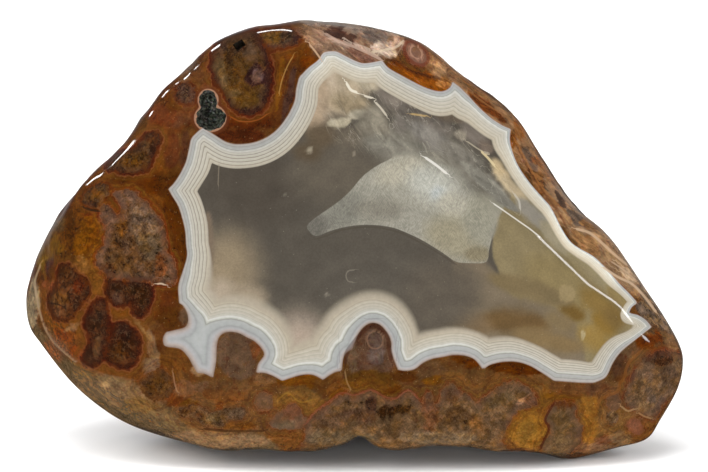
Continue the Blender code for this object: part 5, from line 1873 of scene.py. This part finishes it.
def stone_material():
    """Polished agate: rind, moss, bands and heart, with a rough natural back."""
    wires = Wiring("agate")
    edge = wires.number("edge")
    warp = wires.math("MULTIPLY", wires.math("SUBTRACT", wires.noise("moss_warp"), 0.5), MOSS_WARP)
    moss = wires.math("ADD", wires.number("moss"), warp)
    colour = rind_colour(wires, edge, moss)
    colour = wires.mix(wires.ease("moss_edge", moss), colour, moss_colour(wires))
    colour = ring_colour(wires, moss, wires.number("halo"), colour)
    mouth = wires.number("vug")
    for name in ("vug_stain", "vug_lip"):
        colour = wires.touched(colour, name, wires.ease(name, mouth))
    heart = wires.ease("heart_start", wires.number("heart"))
    inner = wires.mix(heart, band_colour(wires), heart_colour(wires))
    colour = wires.mix(wires.ease("heart_edge", edge), colour, inner)
    stroke_tint, cover = wires.look("stroke_tint")
    stroke = wires.ease("stroke_edge", wires.math("ABSOLUTE", wires.number("stroke")))
    wires.feed_shader("Base Color", wires.mix(wires.math("MULTIPLY", stroke, cover), colour, stroke_tint))

    polish = wires.number("polish")
    grain = wires.noise("surface_grain")
    rough, smooth = (wires.ease(name, grain) for name in ("rough_back", "rough_polish"))
    wires.feed_shader("Roughness", wires.between(polish, rough, smooth))
    wires.feed_shader("IOR", AGATE_IOR)
    wires.bump(wires.ease("grain_strength", polish), GRAIN_HEIGHT, grain)
    return wires.material


def vug_material():
    """Dark drusy crystals in the vug."""
    return crystal_material("vug_crystals", (28, 28, 23), (168, 170, 154))


def pit_material():
    """The dull dark wall of the pit."""
    return crystal_material("pit_wall", (34, 28, 20), (58, 48, 36))


def crystal_material(name, dull, bright):
    """Small crystals between a dull and a bright look."""
    wires = Wiring(name)
    distance, tone = wires.cells(CRYSTAL_CELLS, wires.place)
    dark = wires.mix(wires.ease("crystal_grain"), paint(dull), paint(bright))
    wires.feed_shader("Base Color", wires.mix(CRYSTAL_TONES, dark, wires.mix(1.0, dark, tone, "MULTIPLY")))
    wires.feed_shader("Roughness", wires.ease("crystal_roughness", distance))
    wires.bump(CRYSTAL_STRENGTH, CRYSTAL_HEIGHT, distance)
    return wires.material


def camera_axis():
    """Direction from the stone to the camera."""
    return Vector((0.0, -math.cos(FACE_LEAN), math.sin(FACE_LEAN)))


def place_camera(placing):
    """The camera square to the face, at the photograph's distance."""
    data = bpy.data.cameras.new("camera")
    data.lens = LENS
    data.sensor_width = SENSOR
    data.clip_start = CLIP_START
    camera = bpy.data.objects.new("camera", data)
    camera.matrix_world = face_to_world()
    camera.location = rigid_frame(placing) @ Vector((0.0, 0.0, CAMERA_DISTANCE))
    bpy.context.scene.collection.objects.link(camera)
    bpy.context.scene.camera = camera


def light_room():
    """A bright room around a dim corner behind the camera, so that the face stays clear of reflections."""
    world = bpy.data.worlds.new("room")
    bpy.context.scene.world = world
    world.use_nodes = True
    nodes = Nodes(world.node_tree)
    rays = nodes.add("ShaderNodeLightPath").outputs
    direction = nodes.add("ShaderNodeTexCoord").outputs["Generated"]
    facing = nodes.made(nodes.add("ShaderNodeVectorMath", operation="DOT_PRODUCT"),
                        {0: direction, 1: camera_axis()}, "Value")
    height = nodes.made(nodes.add("ShaderNodeSeparateXYZ"), {0: direction}, "Z")
    room = nodes.smooth(facing, *DARK_COSINE, ROOM_DARK, ROOM_IN_POLISH)
    front = nodes.smooth(height, *FLOOR_RISE, FLOOR_GLOW, room)
    back = nodes.smooth(height, *BACKDROP_RISE, FLOOR_GLOW, BACKDROP_GLOW)
    polish = nodes.smooth(facing, *BACKDROP_COSINE, back, front)
    lit = nodes.between(rays["Is Glossy Ray"], ROOM_BRIGHT, polish)
    background = world.node_tree.nodes["Background"].inputs
    nodes.feed(background["Strength"], nodes.between(rays["Is Camera Ray"], lit, ROOM_SEEN))
    background["Color"].default_value = (1.0, 1.0, 1.0, 1.0)


def add_softbox(name, direction, distance, width, height, radiance, in_polish):
    """A rectangular soft light that faces the stone, with its height in line with the camera axis."""
    data = bpy.data.lights.new(name, "AREA")
    data.shape = "RECTANGLE"
    data.size = width
    data.size_y = height
    data.energy = radiance * math.pi * width * height
    made = bpy.data.objects.new(name, data)
    towards = Vector(direction).normalized()
    upright = (camera_axis() - towards * camera_axis().dot(towards)).normalized()
    made.matrix_world = Matrix((upright.cross(towards), upright, towards)).transposed().to_4x4()
    made.location = towards * distance + Vector((0.0, 0.0, FLAT_BELOW_CENTRE * MM))
    made.visible_camera = False
    made.visible_glossy = in_polish
    bpy.context.scene.collection.objects.link(made)


def light_stone():
    """Softboxes: a large one overhead and smaller ones whose reflections draw the ridge and the rim."""
    for name, (turn, away, *measures) in SOFTBOXES.items():
        direction = face_to_world().to_3x3() @ Vector(face_frame_direction(turn, away))
        add_softbox(name, direction, *measures)


def make_floor():
    """A plain white floor."""
    bm = bmesh.new()
    bmesh.ops.create_grid(bm, x_segments=1, y_segments=1, size=FLOOR_HALF)
    mesh = bpy.data.meshes.new("floor")
    bm.to_mesh(mesh)
    bm.free()
    floor = bpy.data.objects.new("floor", mesh)
    wires = Wiring("white_floor")
    wires.feed_shader("Base Color", (FLOOR_WHITE, FLOOR_WHITE, FLOOR_WHITE, 1.0))
    wires.feed_shader("Roughness", FLOOR_ROUGHNESS)
    wires.feed_shader("Specular IOR Level", 0.0)
    mesh.materials.append(wires.material)
    bpy.context.scene.collection.objects.link(floor)
    floor.visible_glossy = False


def main():
    """Build the stone, its light and its camera around the frame."""
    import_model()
    tables = reach_tables()
    stone, placing = make_stone(tables)
    stone.data.materials.append(stone_material())
    stone.data.materials.append(vug_material())
    stone.data.materials.append(pit_material())
    cutters = [make_vug_cutter(lobe, number, placing, tables) for number, lobe in enumerate(VUG_LOBES)]
    cutters.append(make_pit_cutter(placing, tables))
    cut(stone, cutters)
    shade(stone.data)
    mark_stone(stone, placing)
    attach(stone, "root")
    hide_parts("agate_nodule")

    place_camera(placing)
    light_room()
    light_stone()
    make_floor()
    bpy.context.scene.view_settings.view_transform = "Standard"
    bpy.context.scene.cycles.use_denoising = True


main()
